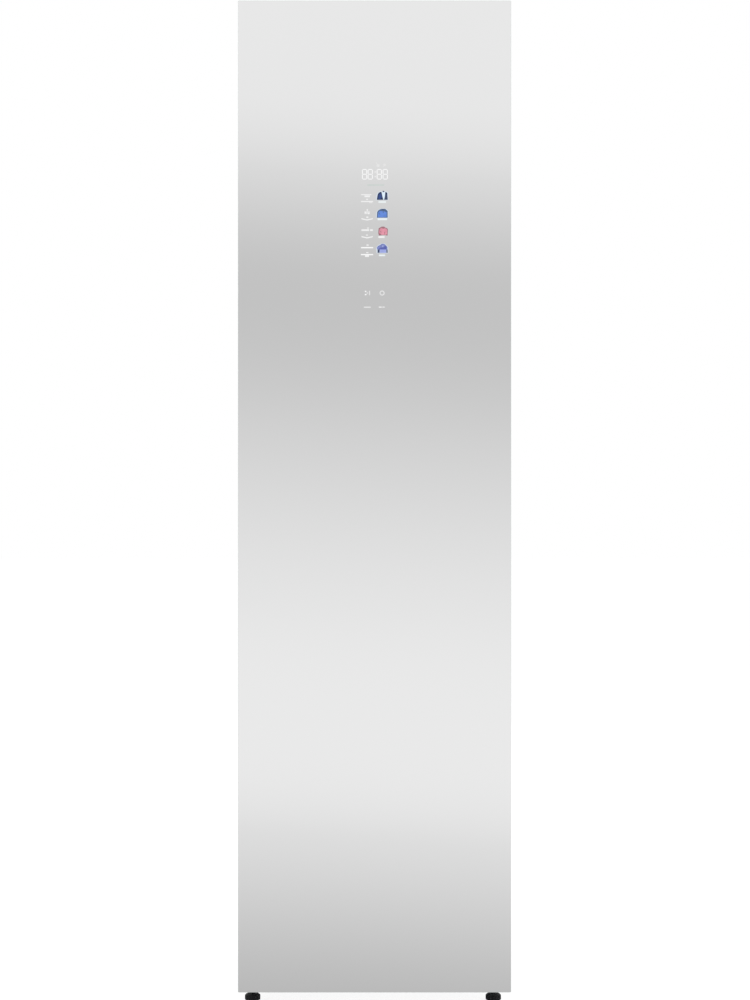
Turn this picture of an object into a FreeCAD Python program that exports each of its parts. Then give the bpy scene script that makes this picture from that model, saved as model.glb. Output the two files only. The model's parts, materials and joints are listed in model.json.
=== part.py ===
"""A tall steam cabinet that shakes, steams and dries hung clothes behind one full-height mirror door.

Millimetres. +Z is up, the door faces -Y, and the origin is on the floor under the middle of the
cabinet's overall box. Each function makes one sub-part, and the last lines write each to its own file.
"""

import math
import os

import FreeCAD, Part

Vector = FreeCAD.Vector
UP = Vector(0, 0, 1)
ALONG_X = Vector(1, 0, 0)
ALONG_Y = Vector(0, 1, 0)

# ---------------------------------------------------------------- overall sizes
glass_width = 500.0
overall_height = 1850.0
overall_depth = 590.0
door_clear_of_floor = 34.0
base_clear_of_floor = 41.0
door_thickness = 45.0
seal_gap = 6.0
grip_overhang = 6.0
cover_below_glass = 2.0
cover_height = 22.0
rear_standoff = 5.0
rear_panel_gap = 0.2

# ---------------------------------------------------------------- walls and clearances
sheet = 0.8
frame_sheet = 1.5
pan_sheet = 1.2
panel_front_fold = 16.0
panel_back_fold = 14.0
frame_skirt = 8.0
frame_shelf_depth = 45.0
moulded_wall = 2.5
cover_wall = 3.0
seat_gap = 0.3
slip_gap = 1.5
running_gap = 0.05

# ---------------------------------------------------------------- chamber
side_wall_space = 36.0
back_wall_space = 58.0
chamber_floor = 400.0
roof_space = 136.0
liner_rib_width = 14.0
liner_rib_height = 3.0
liner_rib_count = 5
liner_rib_margin = 60.0
shelf_height = 545.0
shelf_rail_width = 9.0
shelf_rail_height = 12.0
shelf_rail_from_mouth = 20.0
shelf_rail_round = 3.0
shelf_thickness = 14.0
shelf_skin = 6.0
shelf_border = 24.0
liner_lip = 10.0
pad_thickness = 22.0

# ---------------------------------------------------------------- levelling feet
foot_disc_radius = 14.5
foot_disc_height = 12.8
foot_pad_radius = 11.0
foot_pad_height = 0.8
foot_stem_radius = 5.0
foot_stem_over_boss = 5.8
foot_inset_side = 21.8
foot_inset_front = 90.0
foot_inset_rear = 45.0
foot_scallop_count = 14
foot_scallop_radius = 2.0
foot_dome_rise = 4.4
foot_dome_bulge = 0.9
foot_collar_radius = 7.0
foot_heel_round = 1.6
foot_boss_wall = 5.0
foot_boss_height = 14.0
foot_boss_clear_of_bay = 1.7
rear_stud_radius = 4.0

# ---------------------------------------------------------------- hinges
pivot_inset = 12.0
pivot_behind_glass = 27.0
hinge_plate = 4.0
hinge_arm_half_width = 12.0
hinge_pin_radius = 4.0
hinge_pin_length = 22.0
hinge_bush_wall = 2.0
hinge_pocket_gap = 1.5
hinge_tail_width = 62.0
hinge_tail_depth = 34.0
hinge_foot_depth = 16.0
hinge_screw_length = 13.0
hinge_screw_radius = 2.5

# ---------------------------------------------------------------- door
glass_thickness = 4.0
glass_edge_round = 0.8
glass_corner_round = 2.0
door_frame_wall = 3.0
door_frame_flange = 24.0
door_inset = 1.0
grip_channel_depth = 16.0
grip_channel_width = 16.0
grip_end_margin = 60.0
hinge_block_height = 50.0
hinge_block_width = 37.0
plug_height = 18.0
plug_clear_of_chamber = 10.0
plug_rim = 32.0
plug_edge_round = 5.0
gasket_width = 16.0
gasket_inset = 2.0
gasket_over_chamber = 10.0
gasket_under_chamber = 8.0
display_width = 70.0
display_below_top = 282.0
display_length = 306.0
display_depth = 20.0
board_thickness = 1.6
board_chip_size = 12.0
board_chip_height = 3.0
board_chip_count = 6

# ---------------------------------------------------------------- hanger rail and shaker
rail_radius = 8.0
rail_below_ceiling = 50.0
rail_end_gap = 16.0
rail_travel = 12.0
hanger_pitch = 100.0
hanger_count = 3
collar_radius = 12.0
collar_thickness = 3.0
collar_spacing = 8.0
bracket_from_rail_end = 20.0
bracket_thickness = 20.0
bracket_half_width = 22.0
rail_bush_wall = 1.5
yoke_offset = 50.0
yoke_half_width = 8.0
yoke_half_depth = 16.0
yoke_below_rail = 12.0
crank_radius = 22.0
crank_thickness = 6.0
crank_below_ceiling = 8.0
crank_pin_radius = 3.5
crank_pin_length = 9.0
crank_pin_open_gap = 0.6
crank_shaft_radius = 5.0
crank_shaft_length = 46.0
shaft_hole_radius = 9.0
slot_plate_thickness = 8.0
slot_depth = 5.0
slot_clearance = 0.5
bridge_above_liner = 18.0
bridge_width = 92.0
bridge_flange = 14.0
bridge_plate = 2.0
motor_radius = 31.0
motor_height = 52.0
gearcase_height = 22.0
gearcase_half_width = 38.0

# ---------------------------------------------------------------- hangers
hanger_span = 404.0
hanger_thickness = 16.0
hanger_drop = 78.0
hanger_arm_height = 30.0
hanger_bar_height = 12.0
hanger_bar_drop = 122.0
hanger_bar_half_length = 178.0
hanger_neck_half_width = 17.0
hook_inner_radius = 17.0
hook_wire_radius = 2.3
hook_turn = 72.0
hook_end = 195.0
hanger_below_rail = 56.0
hanger_edge_round = 3.5

# ---------------------------------------------------------------- tanks
tank_bay_over_pan = 3.5
tank_window_below_duct = 10.0
tank_depth = 130.0
tank_behind_frame = 3.0
tank_divider = 6.0
tank_wall = 3.0
tank_front_wall = 5.0
tank_grip_width = 96.0
tank_grip_height = 30.0
tank_grip_depth = 16.0
tank_grip_below_top = 26.0
tank_edge_round = 3.0
lid_thickness = 5.0
cap_radius = 22.0
cap_height = 6.0
cap_clear_of_bay = 2.0

# ---------------------------------------------------------------- chamber floor
floor_gap = 1.0
grille_thickness = 8.0
grille_slot_width = 6.0
grille_slot_pitch = 13.0
grille_slot_length = 58.0
intake_from_front = 28.0
intake_slot_length = 30.0
opening_margin = 4.0
grille_lip = 2.0
filter_width = 200.0
filter_thickness = 22.0
filter_depth = 88.0
filter_rim = 5.0
filter_top_rim = 13.0
filter_pane_depth = 9.0
filter_front_gap = 70.0
filter_tab_width = 60.0
filter_tab_height = 9.0
filter_tab_thickness = 5.0
filter_lip = 5.0
filter_lip_thickness = 2.0
cartridge_size = 52.0
cartridge_depth = 26.0
cartridge_cup_wall = 2.0
cartridge_inset_side = 46.0
cartridge_inset_front = 92.0
cartridge_knob_radius = 9.0
cartridge_knob_height = 6.0

# ---------------------------------------------------------------- air path
duct_inset_left = 104.0
duct_inset_right = 18.0
duct_mouth_margin = 12.0
duct_behind_frame = 16.0
duct_below_filter = 9.8
duct_over_compressor = 33.8
duct_from_back = 168.0
duct_step_gap = 12.0
exchanger_thickness = 52.0
exchanger_gap = 18.0
fin_count = 22
fin_thickness = 1.0
exchanger_tube_radius = 4.0
exchanger_tube_rows = 4
fan_clear_of_liner = 7.5
fan_outlet_from_axis = 22.0
fan_radius = 62.0
fan_width = 58.0
fan_inlet_radius = 44.0
fan_blade_count = 24
fan_blade_length = 15.0
fan_blade_thickness = 1.6
fan_disc = 2.5
fan_hub_radius = 14.0
fan_hub_length = 24.0
fan_blade_lean = 28.0
scroll_radius = 86.0
scroll_width = 74.0
fan_motor_radius = 38.0
fan_motor_length = 56.0
fan_motor_round = 5.0
fan_shaft_radius = 4.0
fan_shaft_clearance = 3.0
fan_shaft_in_motor = 22.0

# ---------------------------------------------------------------- machine room
pan_skirt = 19.0
compressor_inset = 124.0
compressor_behind_pump = 8.0
compressor_radius = 56.0
compressor_height = 138.0
compressor_dome = 22.0
compressor_foot_radius = 70.0
compressor_stub_offset = 18.0
compressor_stub_rise = 8.0
foot_plate = 3.0
mount_height = 16.0
mount_radius = 10.0
generator_inset = 44.0
generator_width = 114.0
generator_depth = 130.0
generator_from_back = 80.0
generator_leg_height = 19.8
generator_height = 106.0
generator_leg_inset = 14.0
generator_edge_round = 10.0
heater_flange_radius = 24.0
heater_flange_rise = 36.0
generator_leg_radius = 6.0
steam_pipe_inset_side = 41.0
steam_pipe_inset_back = 32.0
steam_pipe_radius = 8.0
nozzle_radius = 24.0
nozzle_height = 14.0
nozzle_hole_radius = 2.0
nozzle_hole_count = 8
pump_width = 46.0
pump_height = 44.0
pump_length = 52.0
pump_behind_bay = 59.5
supply_pump_inset = 110.0
drain_pump_inset = 112.0
hose_radius = 5.0
hose_rise = 40.0
hose_shift = 35.0
hose_entry = 30.0
hose_port_inset = 10.0
pipe_radius = 3.5
pipe_bend = 12.0
pipe_clear_of_duct = 14.0
pipe_port_height = 60.0
pipe_rise = 14.0
gland_inset = 74.0
gland_z = 120.0
gland_bore_radius = 4.2
gland_body_radius = 9.0
gland_flange_radius = 14.0
gland_length = 25.0

# ---------------------------------------------------------------- controls and light
control_inset = 25.0
control_width = 150.0
control_behind_bridge = 14.0
control_from_back = 90.0
control_height = 58.0
board_border = 12.0
transformer_width = 42.0
transformer_depth = 36.0
transformer_height = 30.0
relay_width = 16.0
relay_depth = 20.0
relay_height = 18.0
relay_pitch = 22.0
relay_count = 4
capacitor_radius = 6.5
capacitor_height = 26.0
capacitor_pitch = 20.0
capacitor_count = 3
lamp_length = 240.0
lamp_width = 20.0
lamp_depth = 6.0
lamp_from_front = 26.0

# ---------------------------------------------------------------- rear panel and screws
rear_rib_height = 26.0
rear_rib_margin = 60.0
rear_rib_low = 560.0
rear_rib_below_cover = 186.0
louvre_rows = 9
louvre_pitch = 16.0
louvre_width = 120.0
louvre_slot = 5.0
louvre_low = 190.0
louvre_offset_x = 90.0
screw_radius = 2.0
screw_length = 8.0
case_screw_from_base = 30.0
case_screw_from_cover = 20.0
case_screw_inset = 8.0
case_screw_rows = 5

# ---------------------------------------------------------------- places worked out from the sizes
glass_left = -glass_width / 2
glass_right = glass_width / 2
case_left = glass_left
case_right = glass_right - grip_overhang
case_middle = (case_left + case_right) / 2

door_front = -overall_depth / 2
door_back = door_front + door_thickness
case_front = door_back + seal_gap
frame_skirt_back = case_front + frame_skirt
case_back = overall_depth / 2 - rear_standoff
rear_face = case_back + sheet + rear_panel_gap

glass_top = overall_height
cover_top = overall_height - cover_below_glass
cover_bottom = cover_top - cover_height

chamber_ceiling = cover_bottom - roof_space
chamber_left = case_left + side_wall_space
chamber_right = case_right - side_wall_space
chamber_back = case_back - back_wall_space
liner_front = case_front + frame_sheet
liner_roof = chamber_ceiling + moulded_wall
liner_under = chamber_floor - moulded_wall
chamber_mid_y = (door_back + plug_height + chamber_back) / 2

pan_left = case_left + sheet
pan_right = case_right - sheet
pan_front = frame_skirt_back + sheet
pan_back = case_back - sheet
pan_top = base_clear_of_floor + pan_sheet

pivot_x = glass_left + pivot_inset
pivot_y = door_front + pivot_behind_glass
frame_left = case_left + 0.5
frame_right = case_right
frame_front = door_front + glass_thickness
frame_back = door_back - moulded_wall
frame_low = door_clear_of_floor + door_inset
frame_high = glass_top - door_inset
display_high = glass_top - display_below_top
display_low = display_high - display_length

rail_z = chamber_ceiling - rail_below_ceiling
rail_left = chamber_left + rail_end_gap
rail_right = chamber_right - rail_end_gap
yoke_x = case_middle + yoke_offset
crank_top = chamber_ceiling - crank_below_ceiling
crank_bottom = crank_top - crank_thickness
crank_pin_bottom = crank_bottom - crank_pin_length
bridge_z = liner_roof + bridge_above_liner
motor_z = bridge_z + bridge_plate
foot_top = foot_pad_height + foot_disc_height
foot_stem_top = pan_top + foot_boss_height + foot_stem_over_boss
foot_boss_radius = foot_stem_radius + foot_boss_wall
left_foot_x = case_left + foot_inset_side
right_foot_x = case_right - foot_inset_side
front_foot_y = door_front + foot_inset_front
rear_foot_y = overall_depth / 2 - foot_inset_rear
bay_back = case_front + tank_behind_frame + tank_depth + slip_gap
tank_window_low = base_clear_of_floor + pan_skirt + tank_bay_over_pan + moulded_wall
grille_top = chamber_floor + grille_thickness
filter_top = grille_top + seat_gap + filter_lip_thickness
filter_bottom = filter_top - filter_depth
filter_front = case_front + filter_front_gap
duct_left = chamber_left + duct_inset_left
duct_right = chamber_right - duct_inset_right
duct_back = case_back - duct_from_back
duct_shallow_bottom = filter_bottom - duct_below_filter - moulded_wall
tank_window_high = duct_shallow_bottom - tank_window_below_duct
compressor_low = pan_top + mount_height
compressor_top = compressor_low + compressor_height
duct_deep_bottom = compressor_top + duct_over_compressor
condenser_front = duct_back - exchanger_gap - exchanger_thickness
evaporator_front = condenser_front - exchanger_gap - exchanger_thickness
duct_step = evaporator_front - duct_step_gap
filter_middle_x = (duct_left + duct_right) / 2
fan_centre_x = filter_middle_x
fan_centre_z = liner_under - fan_clear_of_liner - scroll_radius
fan_back = duct_back + (scroll_width + fan_width) / 2
pump_y = bay_back + pump_behind_bay
supply_pump_x = case_left + supply_pump_inset
drain_pump_x = case_right - drain_pump_inset
compressor_x = case_right - compressor_inset
compressor_y = pump_y + pump_length + compressor_behind_pump + compressor_radius
generator_left = case_left + generator_inset
generator_right = generator_left + generator_width
generator_back = case_back - generator_from_back
generator_front = generator_back - generator_depth
generator_low = pan_top + generator_leg_height
generator_high = generator_low + generator_height
steam_pipe_x = generator_left + steam_pipe_inset_side
steam_pipe_y = generator_back - steam_pipe_inset_back
gland_x = case_right - gland_inset
control_left = case_left + control_inset
control_right = control_left + control_width
control_front = chamber_mid_y + bridge_width / 2 + control_behind_bridge
control_back = case_back - control_from_back


# ---------------------------------------------------------------- shape helpers
def block(x, y, z):
    """A box between two values on each axis."""
    size = (x[1] - x[0], y[1] - y[0], z[1] - z[0])
    return Part.makeBox(*size, Vector(x[0], y[0], z[0]))


def rod(radius, start, axis, length):
    """A cylinder from a start point along an axis."""
    return Part.makeCylinder(radius, length, Vector(*start), axis)


def joined(shapes):
    """One solid from touching or overlapping ones."""
    whole = shapes[0].fuse(shapes[1:]) if len(shapes) > 1 else shapes[0]
    return whole.removeSplitter()


def group(shapes):
    """Separate solids kept side by side in one sub-part."""
    return Part.makeCompound([solid for shape in shapes for solid in shape.Solids])


def cut(shape, tools):
    """A shape with tools taken out of it."""
    return shape.cut(tools)


def rounded(shape, radius, chosen):
    """A shape with a fillet on the edges that the test chooses."""
    return shape.makeFillet(radius, [edge for edge in shape.Edges if chosen(edge)])


def runs_along(edge, axis):
    """True for a straight edge along an axis."""
    if edge.Curve.TypeId != "Part::GeomLine":
        return False
    return abs(abs(edge.Curve.Direction.dot(axis)) - 1) < 1e-6


def lies_at(edge, axis, place):
    """True for an edge that lies in the plane at a place on an axis."""
    box = edge.BoundBox
    low = Vector(box.XMin, box.YMin, box.ZMin).dot(axis)
    high = Vector(box.XMax, box.YMax, box.ZMax).dot(axis)
    return abs(low - place) < 1e-6 and abs(high - place) < 1e-6


def round_wire(edges, radius, start_direction):
    """A round solid along edges that follow one another, from its first direction."""
    path = Part.Wire(edges)
    ring = Part.Wire(Part.makeCircle(radius, edges[0].Vertexes[0].Point, start_direction))
    return path.makePipeShell([ring], True, False)


def tube(points, radius, bend):
    """A round tube along straight runs joined by tangent arcs of one bend radius."""
    places = [Vector(*point) for point in points]
    edges = []
    start = places[0]
    for before, corner, after in zip(places, places[1:], places[2:]):
        back = (before - corner).normalize()
        ahead = (after - corner).normalize()
        half_turn = (math.pi - back.getAngle(ahead)) / 2
        trim = bend * math.tan(half_turn)
        leave, meet = corner + back * trim, corner + ahead * trim
        middle_way = (back + ahead).normalize()
        centre = corner + middle_way * (bend / math.cos(half_turn))
        edges.append(Part.LineSegment(start, leave).toShape())
        edges.append(Part.Arc(leave, centre - middle_way * bend, meet).toShape())
        start = meet
    edges.append(Part.LineSegment(start, places[-1]).toShape())
    return round_wire(edges, radius, places[1] - places[0])


# ---------------------------------------------------------------- casing
def side_panel(outer, inward):
    """A folded steel side panel; inward is +1 on the left and -1 on the right."""

    def sheet_block(reach, y, z):
        return block(sorted((outer, outer + inward * reach)), y, z)

    height = (base_clear_of_floor, cover_bottom)
    skin = sheet_block(sheet, (frame_skirt_back, case_back), height)
    # The front fold stops below the front frame's top shelf.
    fold_height = (base_clear_of_floor, cover_bottom - frame_sheet - slip_gap)
    front_fold = sheet_block(panel_front_fold, (frame_skirt_back, frame_skirt_back + sheet), fold_height)
    back_fold = sheet_block(panel_back_fold, (case_back - sheet, case_back), height)
    return cut(joined([skin, front_fold, back_fold]), case_screw_holes())


def side_panel_left():
    return side_panel(case_left, 1)


def side_panel_right():
    return side_panel(case_right, -1)


def front_frame():
    """The pressed steel face that the gasket seals on, with windows for the chamber and the tanks."""
    face = block((case_left, case_right), (case_front, liner_front), (base_clear_of_floor, cover_bottom))
    outer = block(
        (case_left, case_right), (case_front, frame_skirt_back), (base_clear_of_floor, cover_bottom)
    )
    inner = block(
        (case_left + frame_sheet, case_right - frame_sheet),
        (case_front, frame_skirt_back),
        (base_clear_of_floor + frame_sheet, cover_bottom - frame_sheet),
    )
    shelf = block(
        (case_left + slip_gap, case_right - slip_gap),
        (case_front, case_front + frame_shelf_depth),
        (cover_bottom - frame_sheet, cover_bottom),
    )
    pressed = joined([face, cut(outer, [inner]), shelf])
    chamber_window = block(
        (chamber_left, chamber_right), (case_front - 1, liner_front + 1), (chamber_floor, chamber_ceiling)
    )
    tank_window = block(
        (chamber_left, chamber_right),
        (case_front - 1, liner_front + 1),
        (tank_window_low, tank_window_high),
    )
    return cut(pressed, [chamber_window, tank_window] + hinge_screw_tools())


def top_cover():
    """A moulded lid over the top compartment, notched for the top hinge."""
    lid = block((case_left, case_right), (case_front, case_back), (cover_bottom, cover_top))
    lid = rounded(lid, cover_wall, lambda edge: lies_at(edge, UP, cover_top))
    hollow = block(
        (case_left + cover_wall, case_right - cover_wall),
        (case_front + cover_wall, case_back - cover_wall),
        (cover_bottom, cover_top - cover_wall),
    )
    notch = block(
        (case_left - 1, pivot_x + hinge_arm_half_width + hinge_pocket_gap),
        (case_front - 1, hinge_tail_start() + seat_gap),
        (cover_bottom, cover_bottom + hinge_plate + hinge_pocket_gap),
    )
    return cut(lid, [hollow, notch])


def rear_panel():
    """A flat sheet with two pressed stand-off ribs, louvres beside the machine room and a gland hole."""
    skin = block((pan_left, pan_right), (case_back, rear_face), (base_clear_of_floor, cover_bottom))
    ribs = []
    for low in (rear_rib_low, cover_bottom - rear_rib_below_cover):
        rib = block(
            (pan_left + rear_rib_margin, pan_right - rear_rib_margin),
            (rear_face, overall_depth / 2),
            (low, low + rear_rib_height),
        )
        ribs.append(
            rounded(rib, rear_standoff * 0.6, lambda edge: lies_at(edge, ALONG_Y, overall_depth / 2))
        )
    hoods, slots = [], []
    for side in (-1, 1):
        middle = case_middle + side * louvre_offset_x
        reach = (middle - louvre_width / 2, middle + louvre_width / 2)
        for row in range(louvre_rows):
            low = louvre_low + row * louvre_pitch
            slots.append(block(reach, (case_back - 1, rear_face + 1), (low, low + louvre_slot)))
            hood = block(reach, (rear_face, rear_face + 2.5), (low + louvre_slot, low + louvre_slot + 3.0))
            hoods.append(hood)
    gland_hole = rod(gland_body_radius, (gland_x, case_back - 1, gland_z), ALONG_Y, sheet + 3)
    return cut(joined([skin] + ribs + hoods), slots + [gland_hole] + case_screw_holes())


def base_pan():
    """The folded base with a threaded boss over each front foot and a plain hole for each rear stud."""
    outer = block(
        (pan_left, pan_right), (pan_front, pan_back), (base_clear_of_floor, base_clear_of_floor + pan_skirt)
    )
    inner = block(
        (pan_left + pan_sheet, pan_right - pan_sheet),
        (pan_front + pan_sheet, pan_back - pan_sheet),
        (pan_top, base_clear_of_floor + pan_skirt),
    )
    pan = cut(outer, [inner])
    bosses, holes = [], []
    for x in (left_foot_x, right_foot_x):
        bosses.append(
            rod(foot_boss_radius, (x, front_foot_y, pan_top), UP, foot_boss_height)
        )
        through = pan_top + foot_boss_height
        holes.append(rod(foot_stem_radius + running_gap, (x, front_foot_y, 0), UP, through + 1))
        holes.append(rod(rear_stud_radius, (x, rear_foot_y, 0), UP, through))
    for x in (pivot_x, pivot_x + hinge_tail_width / 2):
        holes.append(rod(hinge_screw_radius, (x, bottom_screw_y(), 0), UP, through))
    return cut(joined([pan] + bosses), holes)


def foot_disc(x, y):
    """A turned disc with a rounded heel, domed up to a collar, and a small pad under it."""

    def at(radius, height):
        return Vector(x + radius, y, height)

    pad = Part.makeCone(
        foot_pad_radius - foot_pad_height, foot_pad_radius, foot_pad_height, Vector(x, y, 0)
    )
    shoulder = foot_top - foot_dome_rise
    slope = math.atan2(foot_dome_rise, foot_disc_radius - foot_collar_radius)
    crown = at(
        (foot_disc_radius + foot_collar_radius) / 2 + foot_dome_bulge * math.sin(slope),
        (shoulder + foot_top) / 2 + foot_dome_bulge * math.cos(slope),
    )
    heel = foot_pad_height + foot_heel_round
    heel_mid = foot_heel_round * (1 - math.sqrt(0.5))
    outline = [
        Part.makeLine(at(0, foot_pad_height), at(foot_disc_radius - foot_heel_round, foot_pad_height)),
        Part.Arc(
            at(foot_disc_radius - foot_heel_round, foot_pad_height),
            at(foot_disc_radius - heel_mid, foot_pad_height + heel_mid),
            at(foot_disc_radius, heel),
        ).toShape(),
        Part.makeLine(at(foot_disc_radius, heel), at(foot_disc_radius, shoulder)),
        Part.Arc(at(foot_disc_radius, shoulder), crown, at(foot_collar_radius, foot_top)).toShape(),
        Part.makeLine(at(foot_collar_radius, foot_top), at(0, foot_top)),
        Part.makeLine(at(0, foot_top), at(0, foot_pad_height)),
    ]
    disc = Part.Face(Part.Wire(outline)).revolve(Vector(x, y, 0), UP, 360)
    return joined([disc, pad])


def levelling_foot(x):
    """A scalloped foot disc with a threaded stem above."""
    scallops = []
    for index in range(foot_scallop_count):
        angle = 2 * math.pi * index / foot_scallop_count
        reach = foot_disc_radius + foot_scallop_radius * 0.4
        place = (x + reach * math.cos(angle), front_foot_y + reach * math.sin(angle), 0)
        scallops.append(rod(foot_scallop_radius, place, UP, foot_top + 1))
    stem = rod(foot_stem_radius, (x, front_foot_y, foot_top - 1), UP, foot_stem_top - foot_top + 1)
    return joined([cut(foot_disc(x, front_foot_y), scallops), stem])


def foot_front_left():
    return levelling_foot(left_foot_x)


def foot_front_right():
    return levelling_foot(right_foot_x)


def rear_feet():
    """Two fixed rear feet, each with a stud up into the base pan."""
    feet = []
    for x in (left_foot_x, right_foot_x):
        base = (x, rear_foot_y, 0)
        post = rod(foot_collar_radius, base, UP, base_clear_of_floor)
        stud = rod(rear_stud_radius, base, UP, pan_top + 8)
        feet.append(joined([foot_disc(x, rear_foot_y), post, stud]))
    return group(feet)


# ---------------------------------------------------------------- hinges
def bottom_screw_y():
    return pan_front + hinge_foot_depth / 2


def top_screw_y():
    return hinge_tail_start() + hinge_tail_depth * 0.65


def hinge_screw_places():
    """The axis places of the four hinge screws: x, y and whether at the top."""
    spots = (pivot_x, pivot_x + hinge_tail_width / 2)
    return [(x, top_screw_y(), True) for x in spots] + [(x, bottom_screw_y(), False) for x in spots]


def hinge_screw_tools():
    """Holes for the top hinge's screws, through the plate and the frame's top shelf."""
    return [
        rod(hinge_screw_radius, (x, y, cover_bottom - 4), UP, 12)
        for x, y, top in hinge_screw_places() if top
    ]


def hinge_tail_start():
    """Where the top hinge's tail begins, behind the cover's front wall."""
    return case_front + cover_wall + seat_gap


def hinge(plate_low, pin_start, pin_axis, tail_y):
    """A plate whose rounded arm reaches under or over the door, with its pin."""
    z = (plate_low, plate_low + hinge_plate)
    half = hinge_arm_half_width
    arm = block((pivot_x - half, pivot_x + half), (pivot_y, tail_y[0]), z)
    nose = rod(half, (pivot_x, pivot_y, plate_low), UP, hinge_plate)
    tail = block((pan_left + cover_wall, pivot_x + hinge_tail_width - half), tail_y, z)
    pin = rod(hinge_pin_radius, (pivot_x, pivot_y, pin_start), pin_axis, hinge_pin_length + hinge_plate)
    return joined([arm, nose, tail, pin])


def top_hinge():
    start = hinge_tail_start()
    plate = hinge(cover_bottom, cover_bottom + hinge_plate, -UP, (start, start + hinge_tail_depth))
    return cut(plate, hinge_screw_tools())


def bottom_hinge():
    low = base_clear_of_floor - hinge_plate
    plate = hinge(low, low, UP, (pan_front, pan_front + hinge_foot_depth))
    holes = [
        rod(hinge_screw_radius, (x, y, low - 1), UP, 10) for x, y, top in hinge_screw_places() if not top
    ]
    return cut(plate, holes)


def pan_head_screw(head_base, axis, length, shank_radius):
    """A screw whose rounded head, twice as wide as its shank, stands on a face that the shank passes."""
    start = Vector(*head_base)
    height = shank_radius * 1.1
    head = Part.makeCylinder(shank_radius * 2, height, start, axis)
    head = rounded(
        head, height * 0.6, lambda edge: edge.Closed and (edge.CenterOfMass - start).dot(axis) > height / 2
    )
    return joined([head, Part.makeCylinder(shank_radius, length, start - axis * length, axis)])


def hinge_screws():
    """Four screws that hold the two hinges."""
    screws = []
    for x, y, at_top in hinge_screw_places():
        axis = UP if at_top else -UP
        face = cover_bottom + hinge_plate if at_top else base_clear_of_floor - hinge_plate
        screws.append(pan_head_screw((x, y, face), axis, hinge_screw_length, hinge_screw_radius))
    return group(screws)


def case_screw_places():
    """Where the rear panel's screws stand: x and z."""
    first, last = base_clear_of_floor + case_screw_from_base, cover_bottom - case_screw_from_cover
    step = (last - first) / (case_screw_rows - 1)
    columns = (case_left + case_screw_inset, case_right - case_screw_inset)
    return [(x, first + row * step) for x in columns for row in range(case_screw_rows)]


def case_screw_holes():
    """Holes for the rear panel's screws, through the panel and the side panels' folds."""
    return [rod(screw_radius, (x, case_back - 2, z), ALONG_Y, sheet + 4) for x, z in case_screw_places()]


def case_screws():
    """The rear panel's screws."""
    return group(
        [
            pan_head_screw((x, rear_face, z), ALONG_Y, screw_length, screw_radius)
            for x, z in case_screw_places()
        ]
    )


def cord_gland():
    """A flanged bush in the rear panel that the mains cord leaves by."""
    outside = overall_depth / 2
    flange = rod(gland_flange_radius, (gland_x, rear_face, gland_z), ALONG_Y, outside - rear_face)
    body = rod(gland_body_radius, (gland_x, outside - gland_length, gland_z), ALONG_Y, gland_length)
    bore = rod(gland_bore_radius, (gland_x, outside - gland_length - 1, gland_z), ALONG_Y, gland_length + 2)
    return cut(joined([flange, body]), [bore])


# ---------------------------------------------------------------- door
def door_glass():
    """One sheet of toughened mirror glass with softened edges."""
    pane = block((glass_left, glass_right), (door_front, frame_front), (door_clear_of_floor, glass_top))
    pane = rounded(pane, glass_corner_round, lambda edge: runs_along(edge, ALONG_Y))
    return rounded(pane, glass_edge_round, lambda edge: lies_at(edge, ALONG_Y, door_front))


def hinge_pocket(low, high):
    """The space that a hinge arm needs in the door's corner as the door turns about it."""
    return block(
        (frame_left - 2, pivot_x + hinge_arm_half_width + hinge_pocket_gap),
        (pivot_y - hinge_arm_half_width - 5.0 - hinge_pocket_gap, frame_back + 10),
        (low, high),
    )


def door_bush_seats():
    """The two bush seats in the door frame: low end of each."""
    top_pocket_low = cover_bottom - hinge_pocket_gap
    bottom_pocket_high = base_clear_of_floor + hinge_pocket_gap
    return (top_pocket_low - hinge_pin_length, bottom_pocket_high)


def door_frame():
    """A moulded frame behind the glass: a channel open inwards, a grip channel along the opening side
    and a solid block round each hinge bush."""
    wall = door_frame_wall
    y_all = (frame_front, frame_back)
    y_hollow = (frame_front + wall, frame_back - wall)
    ring = block((frame_left, frame_right), y_all, (frame_low, frame_high))
    window = block(
        (frame_left + door_frame_flange, frame_right - door_frame_flange),
        (y_all[0] - 1, y_all[1] + 1),
        (frame_low + door_frame_flange, frame_high - door_frame_flange),
    )
    hollow = block((frame_left + wall, frame_right - wall), y_hollow, (frame_low + wall, frame_high - wall))
    grip_wall = block(
        (frame_right - grip_channel_depth - wall, frame_right),
        (frame_front, frame_front + wall + grip_channel_width + wall),
        (frame_low + grip_end_margin - wall, frame_high - grip_end_margin + wall),
    )
    grip = block(
        (frame_right - grip_channel_depth, frame_right + 1),
        (frame_front + wall, frame_front + wall + grip_channel_width),
        (frame_low + grip_end_margin, frame_high - grip_end_margin),
    )
    block_x = (frame_left, frame_left + hinge_block_width)
    blocks = [
        block(block_x, y_all, (frame_low, frame_low + hinge_block_height)),
        block(block_x, y_all, (frame_high - hinge_block_height, frame_high)),
    ]
    shell = joined([cut(ring, [window, hollow]), grip_wall] + blocks)
    pockets = [
        hinge_pocket(cover_bottom - hinge_pocket_gap, cover_bottom + hinge_plate + hinge_pocket_gap),
        hinge_pocket(frame_low - 1, base_clear_of_floor + hinge_pocket_gap),
    ]
    seats = [
        rod(hinge_pin_radius + hinge_bush_wall, (pivot_x, pivot_y, low), UP, hinge_pin_length)
        for low in door_bush_seats()
    ]
    return cut(shell, [grip] + pockets + seats)


def door_bushes():
    """The two plain bushes that turn on the hinge pins."""
    bushes = []
    for low in door_bush_seats():
        outer = rod(hinge_pin_radius + hinge_bush_wall, (pivot_x, pivot_y, low), UP, hinge_pin_length)
        bore = rod(hinge_pin_radius + running_gap, (pivot_x, pivot_y, low - 1), UP, hinge_pin_length + 2)
        bushes.append(cut(outer, [bore]))
    return group(bushes)


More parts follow.
